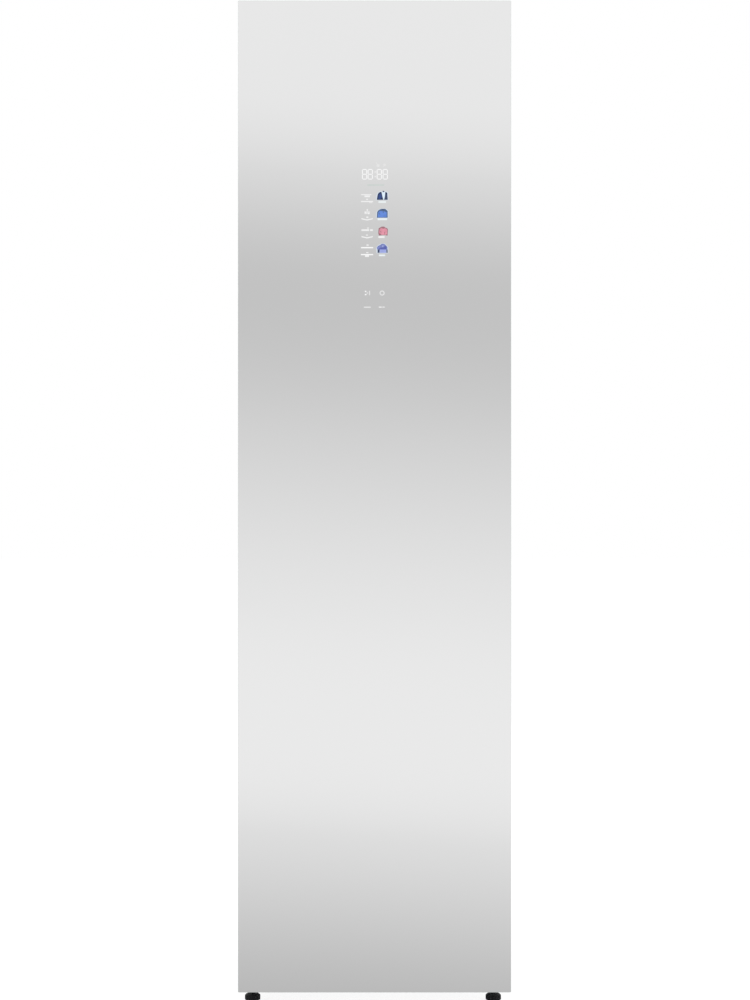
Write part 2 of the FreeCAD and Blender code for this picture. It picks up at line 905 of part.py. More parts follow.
def display_box(grow):
    """The display housing's outer space behind the glass, grown on every side but the glass."""
    return block(
        (-display_width / 2 - grow, display_width / 2 + grow),
        (frame_front, frame_front + display_depth + grow),
        (display_low - grow, display_high + grow),
    )


def door_insulation():
    """The slab that fills the door between the glass and the inner panel."""
    wall = door_frame_wall
    y = (frame_front + wall, frame_back - wall)
    slab = block((frame_left + wall, frame_right - wall), y, (frame_low + wall, frame_high - wall))
    flange = door_frame_flange
    middle = block(
        (frame_left + flange, frame_right - flange),
        (frame_front, frame_back),
        (frame_low + flange, frame_high - flange),
    )
    grip_wall = block(
        (frame_right - grip_channel_depth - wall, frame_right),
        (frame_front, frame_front + wall + grip_channel_width + wall),
        (frame_low + grip_end_margin - wall, frame_high - grip_end_margin + wall),
    )
    block_x = (frame_left, frame_left + hinge_block_width)
    corners = [
        block(block_x, (frame_front, frame_back), (frame_low, frame_low + hinge_block_height)),
        block(block_x, (frame_front, frame_back), (frame_high - hinge_block_height, frame_high)),
    ]
    return cut(joined([slab, middle]), [display_box(0), grip_wall] + corners)


def plug_block(inset, y):
    """The raised plug's outline on the door's inner panel, taken in by an inset."""
    gap = plug_clear_of_chamber + inset
    return block((chamber_left + gap, chamber_right - gap), y, (chamber_floor + gap, chamber_ceiling - gap))


def door_inner_panel():
    """The moulded inner face of the door, with a raised rim that reaches into the chamber's mouth."""
    skin = block(
        (frame_left + 2.5, frame_right - 2.5), (frame_back, door_back), (frame_low + 2.5, frame_high - 2.5)
    )
    plug = plug_block(0, (frame_back, door_back + plug_height))
    plug = rounded(
        plug,
        plug_edge_round,
        lambda edge: runs_along(edge, ALONG_Y) or lies_at(edge, ALONG_Y, door_back + plug_height),
    )
    recess = plug_block(plug_rim, (door_back, door_back + plug_height + 1))
    hollow = cut(
        plug_block(moulded_wall + 1, (frame_back - 1, door_back + plug_height - moulded_wall)),
        [plug_block(plug_rim - moulded_wall, (frame_back - 2, door_back + plug_height))],
    )
    notches = [
        hinge_pocket(cover_bottom - hinge_pocket_gap, cover_bottom + hinge_plate + hinge_pocket_gap),
        hinge_pocket(frame_low - 1, base_clear_of_floor + hinge_pocket_gap),
    ]
    return cut(joined([skin, plug]), [recess, hollow] + notches)


def door_gasket():
    """The soft magnetic seal round the chamber's mouth, with a groove along its face."""
    y = (door_back, case_front - seat_gap)
    high = chamber_ceiling + gasket_over_chamber + gasket_width
    low = chamber_floor - gasket_under_chamber - gasket_width
    left, right = pivot_x + gasket_inset, case_right - (pivot_x + gasket_inset - case_left)

    def ring_block(inset, depth):
        return block((left + inset, right - inset), depth, (low + inset, high - inset))

    outer, inner = ring_block(0, y), ring_block(gasket_width, (y[0] - 1, y[1] + 1))
    groove_depth = (y[1] - 1.6, y[1] + 1)
    groove = cut(
        ring_block(gasket_width * 0.4, groove_depth), [ring_block(gasket_width * 0.6, groove_depth)]
    )
    return cut(outer, [inner, groove])


def display_housing():
    """The dark light box behind the glass, open to the glass."""
    hollow = block(
        (-display_width / 2 + moulded_wall, display_width / 2 - moulded_wall),
        (frame_front, frame_front + display_depth - moulded_wall),
        (display_low + moulded_wall, display_high - moulded_wall),
    )
    return cut(display_box(0), [hollow])


def display_board():
    """The display's circuit board with a row of chips, lying on the housing's back."""
    back = frame_front + display_depth - moulded_wall
    half = display_width / 2 - moulded_wall - floor_gap
    low, high = display_low + moulded_wall + floor_gap, display_high - moulded_wall - floor_gap
    pieces = [block((-half, half), (back - board_thickness, back), (low, high))]
    step = (high - low) / board_chip_count
    for index in range(board_chip_count):
        middle = low + (index + 0.5) * step
        pieces.append(
            block(
                (-board_chip_size / 2, board_chip_size / 2),
                (back - board_thickness - board_chip_height, back - board_thickness),
                (middle - board_chip_size / 2, middle + board_chip_size / 2),
            )
        )
    return joined(pieces)


# ---------------------------------------------------------------- chamber
def floor_openings(z):
    """The openings that the liner's floor and the grille share, between two heights: the filter's slot,
    the scent cup and the steam pipe's hole."""
    half = filter_width / 2 + floor_gap
    slot = block(
        (filter_middle_x - half, filter_middle_x + half),
        (filter_front - floor_gap, filter_front + filter_thickness + floor_gap),
        z,
    )
    return [slot]


def intake_block(z):
    """The air intake's opening in front of the filter, between two heights."""
    front = case_front + intake_from_front - opening_margin
    back = front + intake_slot_length + 2 * opening_margin
    return block((duct_left + duct_mouth_margin, duct_right - duct_mouth_margin), (front, back), z)


def cartridge_block(grow, z):
    """The scent cartridge's square outline, grown on each side."""
    x = chamber_left + cartridge_inset_side
    y = case_front + cartridge_inset_front
    half = cartridge_size / 2 + grow
    return block((x - half, x + half), (y - half, y + half), z)


def outlet_x():
    """The fan outlet's reach along X, at the scroll's rising side."""
    return (fan_centre_x + fan_outlet_from_axis, fan_centre_x + scroll_radius)


def scroll_y():
    """The fan housing's reach along Y."""
    return (duct_back, duct_back + scroll_width)


def chamber_liner():
    """The moulded tub that the clothes hang in, with upright ribs on its back."""
    outer = block(
        (chamber_left - moulded_wall, chamber_right + moulded_wall),
        (liner_front, chamber_back + moulded_wall),
        (liner_under, liner_roof),
    )
    inner = block(
        (chamber_left, chamber_right), (liner_front - 1, chamber_back), (chamber_floor, chamber_ceiling)
    )
    mouth = block(
        (chamber_left - liner_lip, chamber_right + liner_lip),
        (liner_front, liner_front + moulded_wall),
        (chamber_floor - liner_lip, chamber_ceiling + liner_lip),
    )
    tub = cut(joined([outer, mouth]), [inner])
    extras = []
    rib_step = (chamber_right - chamber_left) / (liner_rib_count + 1)
    for index in range(liner_rib_count):
        middle = chamber_left + (index + 1) * rib_step
        extras.append(
            block(
                (middle - liner_rib_width / 2, middle + liner_rib_width / 2),
                (chamber_back - liner_rib_height, chamber_back),
                (shelf_height + liner_rib_margin, rail_z - liner_rib_margin),
            )
        )
    through = (liner_under - 1, chamber_floor + 1)
    intake = intake_block(through)
    outlet = block(outlet_x(), (scroll_y()[0] + moulded_wall, scroll_y()[1] - moulded_wall), through)
    holes = floor_openings(through) + [intake, outlet]
    holes.append(cartridge_block(cartridge_cup_wall + floor_gap, through))
    holes.append(
        rod(steam_pipe_radius, (steam_pipe_x, steam_pipe_y, liner_under - 1), UP, moulded_wall + 2)
    )
    holes.append(rod(shaft_hole_radius, (yoke_x, chamber_mid_y, chamber_ceiling - 1), UP, moulded_wall + 2))
    return cut(joined([tub] + extras), holes)


def shelf_rails():
    """The rail on each side of the liner that the shelf lies on, rounded at its front end."""
    y = (liner_front + shelf_rail_from_mouth, chamber_back)
    z = (shelf_height - shelf_rail_height, shelf_height)
    rails = []
    for inner, outer in (
        (chamber_left + shelf_rail_width, chamber_left),
        (chamber_right - shelf_rail_width, chamber_right),
    ):
        rail = block(sorted((inner, outer)), y, z)
        front_edges = lambda edge: lies_at(edge, ALONG_Y, y[0]) and (
            runs_along(edge, ALONG_X) or lies_at(edge, ALONG_X, inner)
        )
        rails.append(rounded(rail, shelf_rail_round, front_edges))
    return group(rails)


def slot_row(x, y, z):
    """A row of grille slots that run along Y, filling a reach along X."""
    slots = []
    count = int((x[1] - x[0]) // grille_slot_pitch)
    first = (x[0] + x[1]) / 2 - (count - 1) * grille_slot_pitch / 2
    for index in range(count):
        middle = first + index * grille_slot_pitch
        slots.append(block((middle - grille_slot_width / 2, middle + grille_slot_width / 2), y, z))
    return slots


def floor_grille():
    """The lift-out floor with intake slots in front, outlet slots behind and the scent cup."""
    y = (liner_front + moulded_wall + floor_gap, chamber_back - floor_gap)
    plate = block((chamber_left + floor_gap, chamber_right - floor_gap), y, (chamber_floor, grille_top))
    plate = rounded(plate, 2.5, lambda edge: lies_at(edge, UP, grille_top))
    cup_floor = grille_top - cartridge_depth - cartridge_cup_wall
    cup = cartridge_block(cartridge_cup_wall, (cup_floor, grille_top - 3.0))
    cup_space = cartridge_block(seat_gap, (cup_floor + cartridge_cup_wall, grille_top + 1))
    through = (chamber_floor - 1, grille_top + 1)
    margin = duct_mouth_margin + grille_lip
    reach = (duct_left + margin, duct_right - margin)
    intake_y = case_front + intake_from_front
    holes = slot_row(reach, (intake_y, intake_y + intake_slot_length), through)
    outlet_y = (scroll_y()[0] + scroll_y()[1] - grille_slot_length) / 2
    holes += slot_row(outlet_x(), (outlet_y, outlet_y + grille_slot_length), through)
    holes += floor_openings(through)
    holes.append(
        rod(nozzle_radius, (steam_pipe_x, steam_pipe_y, chamber_floor - 1), UP, grille_thickness + 2)
    )
    return cut(joined([plate, cup]), holes + [cup_space])


def insulation():
    """The pads on the liner's outside, left, right and behind."""
    z = (chamber_floor, chamber_ceiling)
    y = (frame_skirt_back + 10, chamber_back)
    left_face, right_face = chamber_left - moulded_wall, chamber_right + moulded_wall
    back_face = chamber_back + moulded_wall
    left = block((left_face - pad_thickness, left_face), y, z)
    right = block((right_face, right_face + pad_thickness), y, z)
    back = block((chamber_left, chamber_right), (back_face, back_face + pad_thickness), z)
    return group([left, right, back])


def shelf():
    """A slotted shelf that lies on the liner's side rails."""
    x = (chamber_left + slip_gap, chamber_right - slip_gap)
    y = (liner_front + shelf_border, chamber_back - floor_gap)
    top = shelf_height + shelf_thickness
    plate = rounded(block(x, y, (shelf_height, top)), 3.0, lambda edge: lies_at(edge, UP, top))
    through = (shelf_height - 1, top + 1)
    middle_y = (y[0] + y[1]) / 2
    rib = shelf_border / 2
    slots = []
    for row in ((y[0] + shelf_border, middle_y - rib), (middle_y + rib, y[1] - shelf_border)):
        slots += slot_row((x[0] + shelf_border, x[1] - shelf_border), row, through)
    under = block(
        (x[0] + shelf_rail_width + 6, x[1] - shelf_rail_width - 6),
        (y[0] + 5, y[1] - 5),
        (shelf_height - 1, top - shelf_skin),
    )
    return cut(plate, slots + [under])


def lamp_lens():
    """A frosted bar lens on the ceiling near the mouth."""
    y = liner_front + lamp_from_front
    bar = block(
        (case_middle - lamp_length / 2, case_middle + lamp_length / 2),
        (y, y + lamp_width),
        (chamber_ceiling - lamp_depth, chamber_ceiling),
    )
    return rounded(bar, lamp_depth * 0.6, lambda edge: lies_at(edge, UP, chamber_ceiling - lamp_depth))


# ---------------------------------------------------------------- hanger rail and shaker
def bracket_middles():
    """The X place of each rail bracket."""
    return (rail_left + bracket_from_rail_end, rail_right - bracket_from_rail_end)


def rail_brackets():
    """Two ears under the ceiling that hold the rail's bushes."""
    ears = []
    for middle in bracket_middles():
        x = (middle - bracket_thickness / 2, middle + bracket_thickness / 2)
        foot = block(
            x,
            (chamber_mid_y - bracket_half_width - 8, chamber_mid_y + bracket_half_width + 8),
            (chamber_ceiling - 6, chamber_ceiling),
        )
        ear = block(
            x,
            (chamber_mid_y - bracket_half_width, chamber_mid_y + bracket_half_width),
            (rail_z, chamber_ceiling),
        )
        nose = rod(bracket_half_width, (x[0], chamber_mid_y, rail_z), ALONG_X, bracket_thickness)
        bore = rod(
            rail_radius + rail_bush_wall, (x[0] - 1, chamber_mid_y, rail_z), ALONG_X, bracket_thickness + 2
        )
        ears.append(cut(joined([foot, ear, nose]), [bore]))
    return group(ears)


def rail_bushes():
    """The sliding bushes in the brackets."""
    bushes = []
    for middle in bracket_middles():
        start = middle - bracket_thickness / 2
        outer = rod(
            rail_radius + rail_bush_wall, (start, chamber_mid_y, rail_z), ALONG_X, bracket_thickness
        )
        bore = rod(
            rail_radius + running_gap, (start - 1, chamber_mid_y, rail_z), ALONG_X, bracket_thickness + 2
        )
        bushes.append(cut(outer, [bore]))
    return group(bushes)


def hanger_places():
    """The X place of each hanger on the rail."""
    first = case_middle - (hanger_count - 1) / 2 * hanger_pitch
    return [first + index * hanger_pitch for index in range(hanger_count)]


def hanger_rail():
    """The sliding rail with a pair of collars round each hanger's place."""
    pieces = [rod(rail_radius, (rail_left, chamber_mid_y, rail_z), ALONG_X, rail_right - rail_left)]
    for place in hanger_places():
        for side in (-1, 1):
            middle = place + side * collar_spacing
            start = middle - collar_thickness / 2
            pieces.append(rod(collar_radius, (start, chamber_mid_y, rail_z), ALONG_X, collar_thickness))
    return joined(pieces)


def rail_yoke():
    """The block clamped on the rail, with the slot plate that the crank pin drives."""
    top = crank_pin_bottom - crank_pin_open_gap
    body = block(
        (yoke_x - yoke_half_width, yoke_x + yoke_half_width),
        (chamber_mid_y - yoke_half_depth, chamber_mid_y + yoke_half_depth),
        (rail_z - yoke_below_rail, top),
    )
    slot_reach = rail_travel + crank_pin_radius + slot_clearance
    plate = block(
        (yoke_x - yoke_half_width, yoke_x + yoke_half_width),
        (chamber_mid_y - slot_reach - 5, chamber_mid_y + slot_reach + 5),
        (top - slot_plate_thickness, top),
    )
    half_slot = crank_pin_radius + slot_clearance
    slot = block(
        (yoke_x - half_slot, yoke_x + half_slot),
        (chamber_mid_y - slot_reach, chamber_mid_y + slot_reach),
        (top - slot_depth, top + 1),
    )
    bore = rod(
        rail_radius, (yoke_x - yoke_half_width - 1, chamber_mid_y, rail_z), ALONG_X, 2 * yoke_half_width + 2
    )
    return cut(joined([body, plate]), [slot, bore])


def crank():
    """The crank disc on its shaft, with the eccentric pin that works the yoke."""
    disc = rod(crank_radius, (yoke_x, chamber_mid_y, crank_bottom), UP, crank_thickness)
    disc = rounded(disc, 1.5, lambda edge: edge.Closed)
    shaft = rod(crank_shaft_radius, (yoke_x, chamber_mid_y, crank_top - 1), UP, crank_shaft_length)
    pin = rod(
        crank_pin_radius, (yoke_x, chamber_mid_y + rail_travel, crank_pin_bottom), UP, crank_pin_length + 1
    )
    return joined([disc, shaft, pin])


def shaker_bridge():
    """The steel bridge across the top compartment that carries the shaker motor."""
    y = (chamber_mid_y - bridge_width / 2, chamber_mid_y + bridge_width / 2)
    plate = block((pan_left, pan_right), y, (bridge_z, bridge_z + bridge_plate))
    flanges = [
        block((pan_left, pan_right), (side, side + bridge_plate), (bridge_z - bridge_flange, bridge_z))
        for side in (y[0], y[1] - bridge_plate)
    ]
    ends = [
        block((low, low + bridge_plate), y, (bridge_z - bridge_flange, bridge_z))
        for low in (pan_left, pan_right - bridge_plate)
    ]
    shaft_hole = rod(crank_shaft_radius + 2, (yoke_x, chamber_mid_y, bridge_z - 1), UP, bridge_plate + 2)
    return cut(joined([plate] + flanges + ends), [shaft_hole])


def shaker_motor():
    """The gear motor on the bridge, bored for the crank's shaft."""
    case = block(
        (yoke_x - gearcase_half_width, yoke_x + gearcase_half_width),
        (chamber_mid_y - gearcase_half_width, chamber_mid_y + gearcase_half_width),
        (motor_z, motor_z + gearcase_height),
    )
    case = rounded(case, 6.0, lambda edge: runs_along(edge, UP))
    can = rod(
        motor_radius, (yoke_x, chamber_mid_y, motor_z + gearcase_height), UP, motor_height - gearcase_height
    )
    can = rounded(can, 4.0, lambda edge: edge.Closed and lies_at(edge, UP, motor_z + motor_height))
    shaft_top = crank_top - 1 + crank_shaft_length
    bore = rod(
        crank_shaft_radius + running_gap,
        (yoke_x, chamber_mid_y, motor_z - 1),
        UP,
        shaft_top + 1 - motor_z + 1,
    )
    return cut(joined([case, can]), [bore])


def hanger_body(shoulder_top):
    """The hanger's curved arms, from its crown to its two rounded tips."""
    half, neck, arm = hanger_span / 2, hanger_neck_half_width, hanger_arm_height
    tip = shoulder_top - hanger_drop

    def at(y, z):
        return Vector(-hanger_thickness / 2, chamber_mid_y + y, z)

    right_side = [
        (neck * 1.6, shoulder_top - hanger_drop * 0.09),
        (half * 0.55, shoulder_top - hanger_drop * 0.35),
        (half - arm * 0.3, tip + arm * 0.95),
        (half, tip + arm * 0.45),
    ]
    left_side = [(-y, z) for y, z in reversed(right_side)]
    top = Part.BSplineCurve()
    top.interpolate([at(y, z) for y, z in left_side + [(0, shoulder_top)] + right_side])
    heel = half - arm * 0.27
    belly = Part.Arc(at(-heel, tip), at(0, shoulder_top - arm * 1.2), at(heel, tip))
    ends = []
    for side in (-1, 1):
        bend = at(side * (half - arm * 0.04), tip + arm * 0.12)
        ends.append(Part.Arc(at(side * half, tip + arm * 0.45), bend, at(side * heel, tip)).toShape())
    outline = Part.Wire([top.toShape(), ends[1], belly.toShape(), ends[0]])
    body = Part.Face(outline).extrude(ALONG_X * hanger_thickness)
    face = hanger_thickness / 2
    return rounded(
        body, hanger_edge_round, lambda edge: lies_at(edge, ALONG_X, face) or lies_at(edge, ALONG_X, -face)
    )


def hook(centre_z, root_z):
    """The hook's wire: a straight shank, a short bend to one side and a loop back over the rail."""
    loop = hook_inner_radius + hook_wire_radius
    turn = math.radians(hook_turn)
    bend = loop * math.cos(turn) / (1 - math.cos(turn))
    bend_z = centre_z - (loop + bend) * math.sin(turn)

    def on_loop(angle):
        return Vector(0, chamber_mid_y + loop * math.cos(angle), centre_z + loop * math.sin(angle))

    def on_bend(angle):
        return Vector(0, chamber_mid_y + bend - bend * math.cos(angle), bend_z + bend * math.sin(angle))

    root, last = Vector(0, chamber_mid_y, root_z), math.radians(hook_end)
    shank = Part.LineSegment(root, on_bend(0))
    lower = Part.Arc(on_bend(0), on_bend(turn / 2), on_bend(turn))
    upper = Part.Arc(on_loop(-turn), on_loop((last - turn) / 2), on_loop(last))
    wire = round_wire([edge.toShape() for edge in (shank, lower, upper)], hook_wire_radius, UP)
    return joined([wire, Part.makeSphere(hook_wire_radius * 1.4, on_loop(last))])


def hanger(place):
    """One hanger: moulded arms, a trouser bar hung between them, and a wire hook over the rail."""
    shoulder_top = rail_z - hanger_below_rail
    thin = hanger_bar_height / 2
    bar_z = shoulder_top - hanger_bar_drop + thin
    half = hanger_bar_half_length
    pieces = [hanger_body(shoulder_top), rod(thin, (0, chamber_mid_y - half, bar_z), ALONG_Y, 2 * half)]
    for side in (-1, 1):
        elbow = (0, chamber_mid_y + side * half, bar_z)
        pieces.append(Part.makeSphere(thin, Vector(*elbow)))
        pieces.append(rod(thin, elbow, UP, hanger_bar_drop - hanger_drop + hanger_arm_height * 0.3))
    centre_z = rail_z + rail_radius + seat_gap - hook_inner_radius
    collar = rod(hook_wire_radius * 2, (0, chamber_mid_y, shoulder_top - 6), UP, 12)
    pieces += [collar, hook(centre_z, shoulder_top - 3)]
    whole = joined(pieces)
    whole.translate(Vector(place, 0, 0))
    return whole


def hanger_left():
    return hanger(hanger_places()[0])


def hanger_middle():
    return hanger(hanger_places()[1])


def hanger_right():
    return hanger(hanger_places()[2])


# ---------------------------------------------------------------- lift-out floor pieces
def lint_filter():
    """The filter cassette: a rimmed frame with crossed bars over a mesh, and a finger tab on top."""
    x = (filter_middle_x - filter_width / 2, filter_middle_x + filter_width / 2)
    y = (filter_front, filter_front + filter_thickness)
    top = filter_top
    z = (filter_bottom, top)
    shell = block(x, y, z)
    panes = []
    clear_x = (x[0] + filter_rim, x[1] - filter_rim)
    pane_width = (clear_x[1] - clear_x[0] - 2 * filter_rim) / 3
    for index in range(3):
        left = clear_x[0] + index * (pane_width + filter_rim)
        pane_z = (z[0] + filter_rim, z[1] - filter_top_rim)
        panes.append(block((left, left + pane_width), (y[0] - 1, y[0] + filter_pane_depth), pane_z))
        panes.append(block((left, left + pane_width), (y[1] - filter_pane_depth, y[1] + 1), pane_z))
    middle_y = (y[0] + y[1]) / 2
    tab = block(
        (filter_middle_x - filter_tab_width / 2, filter_middle_x + filter_tab_width / 2),
        (middle_y - filter_tab_thickness / 2, middle_y + filter_tab_thickness / 2),
        (top, top + filter_tab_height),
    )
    tab = rounded(tab, filter_tab_thickness * 0.4, lambda edge: lies_at(edge, UP, top + filter_tab_height))
    lip_low = grille_top + seat_gap
    lip = block(
        (x[0] - filter_lip, x[1] + filter_lip),
        (y[0] - filter_lip, y[1] + filter_lip),
        (lip_low, lip_low + filter_lip_thickness),
    )
    return joined([cut(shell, panes), lip, tab])


def scent_cartridge():
    """The scent cartridge with its vented lid and finger knob."""
    low = grille_top - cartridge_depth + seat_gap
    body = cartridge_block(0, (low, grille_top + 1.0))
    body = rounded(body, 4.0, lambda edge: runs_along(edge, UP))
    x, y = chamber_left + cartridge_inset_side, case_front + cartridge_inset_front
    knob = rod(cartridge_knob_radius, (x, y, grille_top + 1.0), UP, cartridge_knob_height)
    knob = rounded(
        knob, 2.0, lambda edge: edge.Closed and lies_at(edge, UP, grille_top + 1.0 + cartridge_knob_height)
    )
    vents = []
    for index in range(4):
        for side in (-1, 1):
            middle = x + side * (cartridge_knob_radius + 7.0)
            low_y = y - 18.0 + index * 10.0
            vents.append(
                block((middle - 5, middle + 5), (low_y, low_y + 4), (grille_top - 3.0, grille_top + 2.0))
            )
    return cut(joined([body, knob]), vents)


# ---------------------------------------------------------------- tanks
def tank_reach(side):
    """A tank's reach along X; side is 0 on the left and 1 on the right."""
    half = tank_divider / 2 + slip_gap
    if side == 0:
        return (chamber_left + slip_gap, case_middle - half)
    return (case_middle + half, chamber_right - slip_gap)


def tank_y():
    """A tank's reach along Y."""
    return (case_front + tank_behind_frame, case_front + tank_behind_frame + tank_depth)


def tank_bay():
    """The moulded bay behind the lower window: a bed and a divider for the two tanks, on a skirt."""
    wall = moulded_wall
    x = (chamber_left - wall, chamber_right + wall)
    bed = tank_window_low - wall
    upper = block(x, (liner_front, bay_back + wall), (bed, tank_window_high + wall))
    skirt_front = pan_front + pan_sheet + slip_gap
    reach = foot_boss_radius + foot_boss_clear_of_bay
    between_feet = (left_foot_x + reach, right_foot_x - reach)
    skirt = block(between_feet, (skirt_front, bay_back + wall), (pan_top, bed))
    under = block(
        (between_feet[0] + wall, between_feet[1] - wall), (skirt_front - 1, bay_back), (pan_top - 1, bed)
    )
    hollows = []
    for left, right in (tank_reach(0), tank_reach(1)):
        hollows.append(
            block(
                (left - slip_gap, right + slip_gap),
                (liner_front - 1, bay_back),
                (tank_window_low, tank_window_high),
            )
        )
    spouts = [
        rod(hose_radius, (place, bay_back - 1, spout_z()), ALONG_Y, wall + 2) for place in pump_places()
    ]
    return cut(joined([upper, cut(skirt, [under])]), hollows + spouts)


def tank(side):
    """An open-topped tank with a finger grip in its front."""
    x, y = tank_reach(side), tank_y()
    z = (tank_window_low, tank_window_high - lid_thickness - cap_height - cap_clear_of_bay)
    body = rounded(block(x, y, z), tank_edge_round, lambda edge: runs_along(edge, UP))
    middle = (x[0] + x[1]) / 2
    grip_top = z[1] - tank_grip_below_top
    grip_x = (middle - tank_grip_width / 2, middle + tank_grip_width / 2)
    grip_z = (grip_top - tank_grip_height, grip_top)
    grip = block(grip_x, (y[0] - 1, y[0] + tank_grip_depth), grip_z)
    wall = tank_wall
    grip_shell = block(
        (grip_x[0] - wall, grip_x[1] + wall),
        (y[0], y[0] + tank_grip_depth + wall),
        (grip_z[0] - wall, grip_z[1] + wall),
    )
    water = block(
        (x[0] + wall, x[1] - wall), (y[0] + tank_front_wall, y[1] - wall), (z[0] + wall, z[1] + 1)
    )
    return cut(body, [cut(water, [grip_shell]), grip])


def supply_tank():
    return tank(0)


def drain_tank():
    return tank(1)


def tank_lids():
    """The lid of each tank, with its filler cap."""
    lids = []
    low = tank_window_high - lid_thickness - cap_height - cap_clear_of_bay
    for side in (0, 1):
        x, y = tank_reach(side), tank_y()
        plate = rounded(
            block(x, y, (low, low + lid_thickness)), tank_edge_round, lambda edge: runs_along(edge, UP)
        )
        centre = ((x[0] + x[1]) / 2, (y[0] + y[1]) / 2, low + lid_thickness)
        lids.append(joined([plate, rod(cap_radius, centre, UP, cap_height)]))
    return group(lids)


# ---------------------------------------------------------------- air path
def duct_blocks(inset):
    """The duct's shallow front and deep rear, each taken in by an inset."""
    x = (duct_left + inset, duct_right - inset)
    top = liner_under - inset if inset else liner_under
    shallow_y = (case_front + duct_behind_frame + inset, duct_step + duct_step_gap)
    shallow = block(x, shallow_y, (duct_shallow_bottom + inset, top))
    deep = block(x, (duct_step + inset, duct_back - inset), (duct_deep_bottom + inset, top))
    return joined([shallow, deep])


def air_duct():
    """The housing that leads chamber air past the filter and the heat exchangers to the fan."""
    through = (liner_under - moulded_wall - 1, liner_under + 1)
    intake = intake_block(through)
    fan_mouth = rod(
        fan_inlet_radius,
        (fan_centre_x, duct_back - moulded_wall - 1, fan_centre_z),
        ALONG_Y,
        moulded_wall + 2,
    )
    return cut(duct_blocks(0), [duct_blocks(moulded_wall), intake, fan_mouth] + floor_openings(through))


def exchanger(front):
    """A finned heat exchanger across the duct's deep part."""
    x = (duct_left + moulded_wall, duct_right - moulded_wall)
    z = (duct_deep_bottom + moulded_wall, liner_under - moulded_wall)
    y = (front, front + exchanger_thickness)
    step = (x[1] - x[0] - fin_thickness) / (fin_count - 1)
    fins = [
        block((x[0] + index * step, x[0] + index * step + fin_thickness), y, z)
        for index in range(fin_count)
    ]
    tubes = []
    for row in range(exchanger_tube_rows):
        height = z[0] + (row + 0.5) * (z[1] - z[0]) / exchanger_tube_rows
        for column in (0.27, 0.73):
            place = (x[0], front + column * exchanger_thickness, height)
            tubes.append(rod(exchanger_tube_radius, place, ALONG_X, x[1] - x[0]))
    return joined(fins + tubes)


def evaporator():
    return exchanger(evaporator_front)


def condenser():
    return exchanger(condenser_front)


def fan_housing():
    """The fan's scroll, with its inlet from the duct and its outlet up through the chamber's floor."""
    y = scroll_y()
    width = y[1] - y[0]
    drum = rod(scroll_radius, (fan_centre_x, y[0], fan_centre_z), ALONG_Y, width)
    neck = block(outlet_x(), y, (fan_centre_z, liner_under))
    wall = moulded_wall
    inner_drum = rod(
        scroll_radius - wall, (fan_centre_x, y[0] + wall, fan_centre_z), ALONG_Y, width - 2 * wall
    )
    inner_neck = block(
        (outlet_x()[0] + wall, outlet_x()[1] - wall),
        (y[0] + wall, y[1] - wall),
        (fan_centre_z, liner_under + 1),
    )
    inlet = rod(fan_inlet_radius, (fan_centre_x, y[0] - 1, fan_centre_z), ALONG_Y, wall + 2)
    shaft_hole = rod(
        fan_shaft_radius + fan_shaft_clearance,
        (fan_centre_x, y[1] - wall - 1, fan_centre_z),
        ALONG_Y,
        wall + 2,
    )
    return cut(joined([drum, neck]), [inner_drum, inner_neck, inlet, shaft_hole])


def fan_impeller():
    """The blower wheel: a back disc, an inlet ring, curved-in blades, a hub and the shaft."""
    front = duct_back + (scroll_width - fan_width) / 2
    back_disc = rod(fan_radius, (fan_centre_x, fan_back - fan_disc, fan_centre_z), ALONG_Y, fan_disc)
    ring = rod(fan_radius, (fan_centre_x, front, fan_centre_z), ALONG_Y, fan_disc)
    mouth = rod(
        fan_radius - fan_blade_length, (fan_centre_x, front - 1, fan_centre_z), ALONG_Y, fan_disc + 2
    )
    hub_front = (fan_centre_x, fan_back - fan_hub_length, fan_centre_z)
    hub = rod(fan_hub_radius, hub_front, ALONG_Y, fan_hub_length)
    shaft_end = duct_back + scroll_width + fan_shaft_in_motor
    shaft = rod(fan_shaft_radius, hub_front, ALONG_Y, shaft_end - fan_back + fan_hub_length)
    blades = []
    for index in range(fan_blade_count):
        blade = block(
            (fan_radius - fan_blade_length, fan_radius - 1.0),
            (front, fan_back - 1),
            (-fan_blade_thickness / 2, fan_blade_thickness / 2),
        )
        blade.rotate(Vector(fan_radius - fan_blade_length, 0, 0), ALONG_Y, fan_blade_lean)
        blade.rotate(Vector(0, 0, 0), ALONG_Y, 360 * index / fan_blade_count)
        blade.translate(Vector(fan_centre_x, 0, fan_centre_z))
        blades.append(blade)
    rim = rod(fan_radius, (fan_centre_x, front, fan_centre_z), ALONG_Y, fan_back - front)
    blades = [blade.common(rim) for blade in blades]
    return joined([back_disc, cut(ring, [mouth]), hub, shaft] + blades)


def fan_motor():
    """The fan's motor on the back of the scroll, bored for the shaft."""
    start = duct_back + scroll_width
    body = rod(fan_motor_radius, (fan_centre_x, start, fan_centre_z), ALONG_Y, fan_motor_length)
    back = start + fan_motor_length
    body = rounded(body, fan_motor_round, lambda edge: edge.Closed and lies_at(edge, ALONG_Y, back))
    bore = rod(
        fan_shaft_radius + running_gap,
        (fan_centre_x, start - 1, fan_centre_z),
        ALONG_Y,
        fan_shaft_in_motor + 2,
    )
    return cut(body, [bore])


# ---------------------------------------------------------------- machine room
def compressor_feet():
    """Where the compressor's three mounts stand: x and y."""
    places = []
    for index in range(3):
        angle = math.radians(90 + 120 * index)
        places.append(
            (
                compressor_x + compressor_foot_radius * math.cos(angle),
                compressor_y + compressor_foot_radius * math.sin(angle),
            ),
        )
    return places


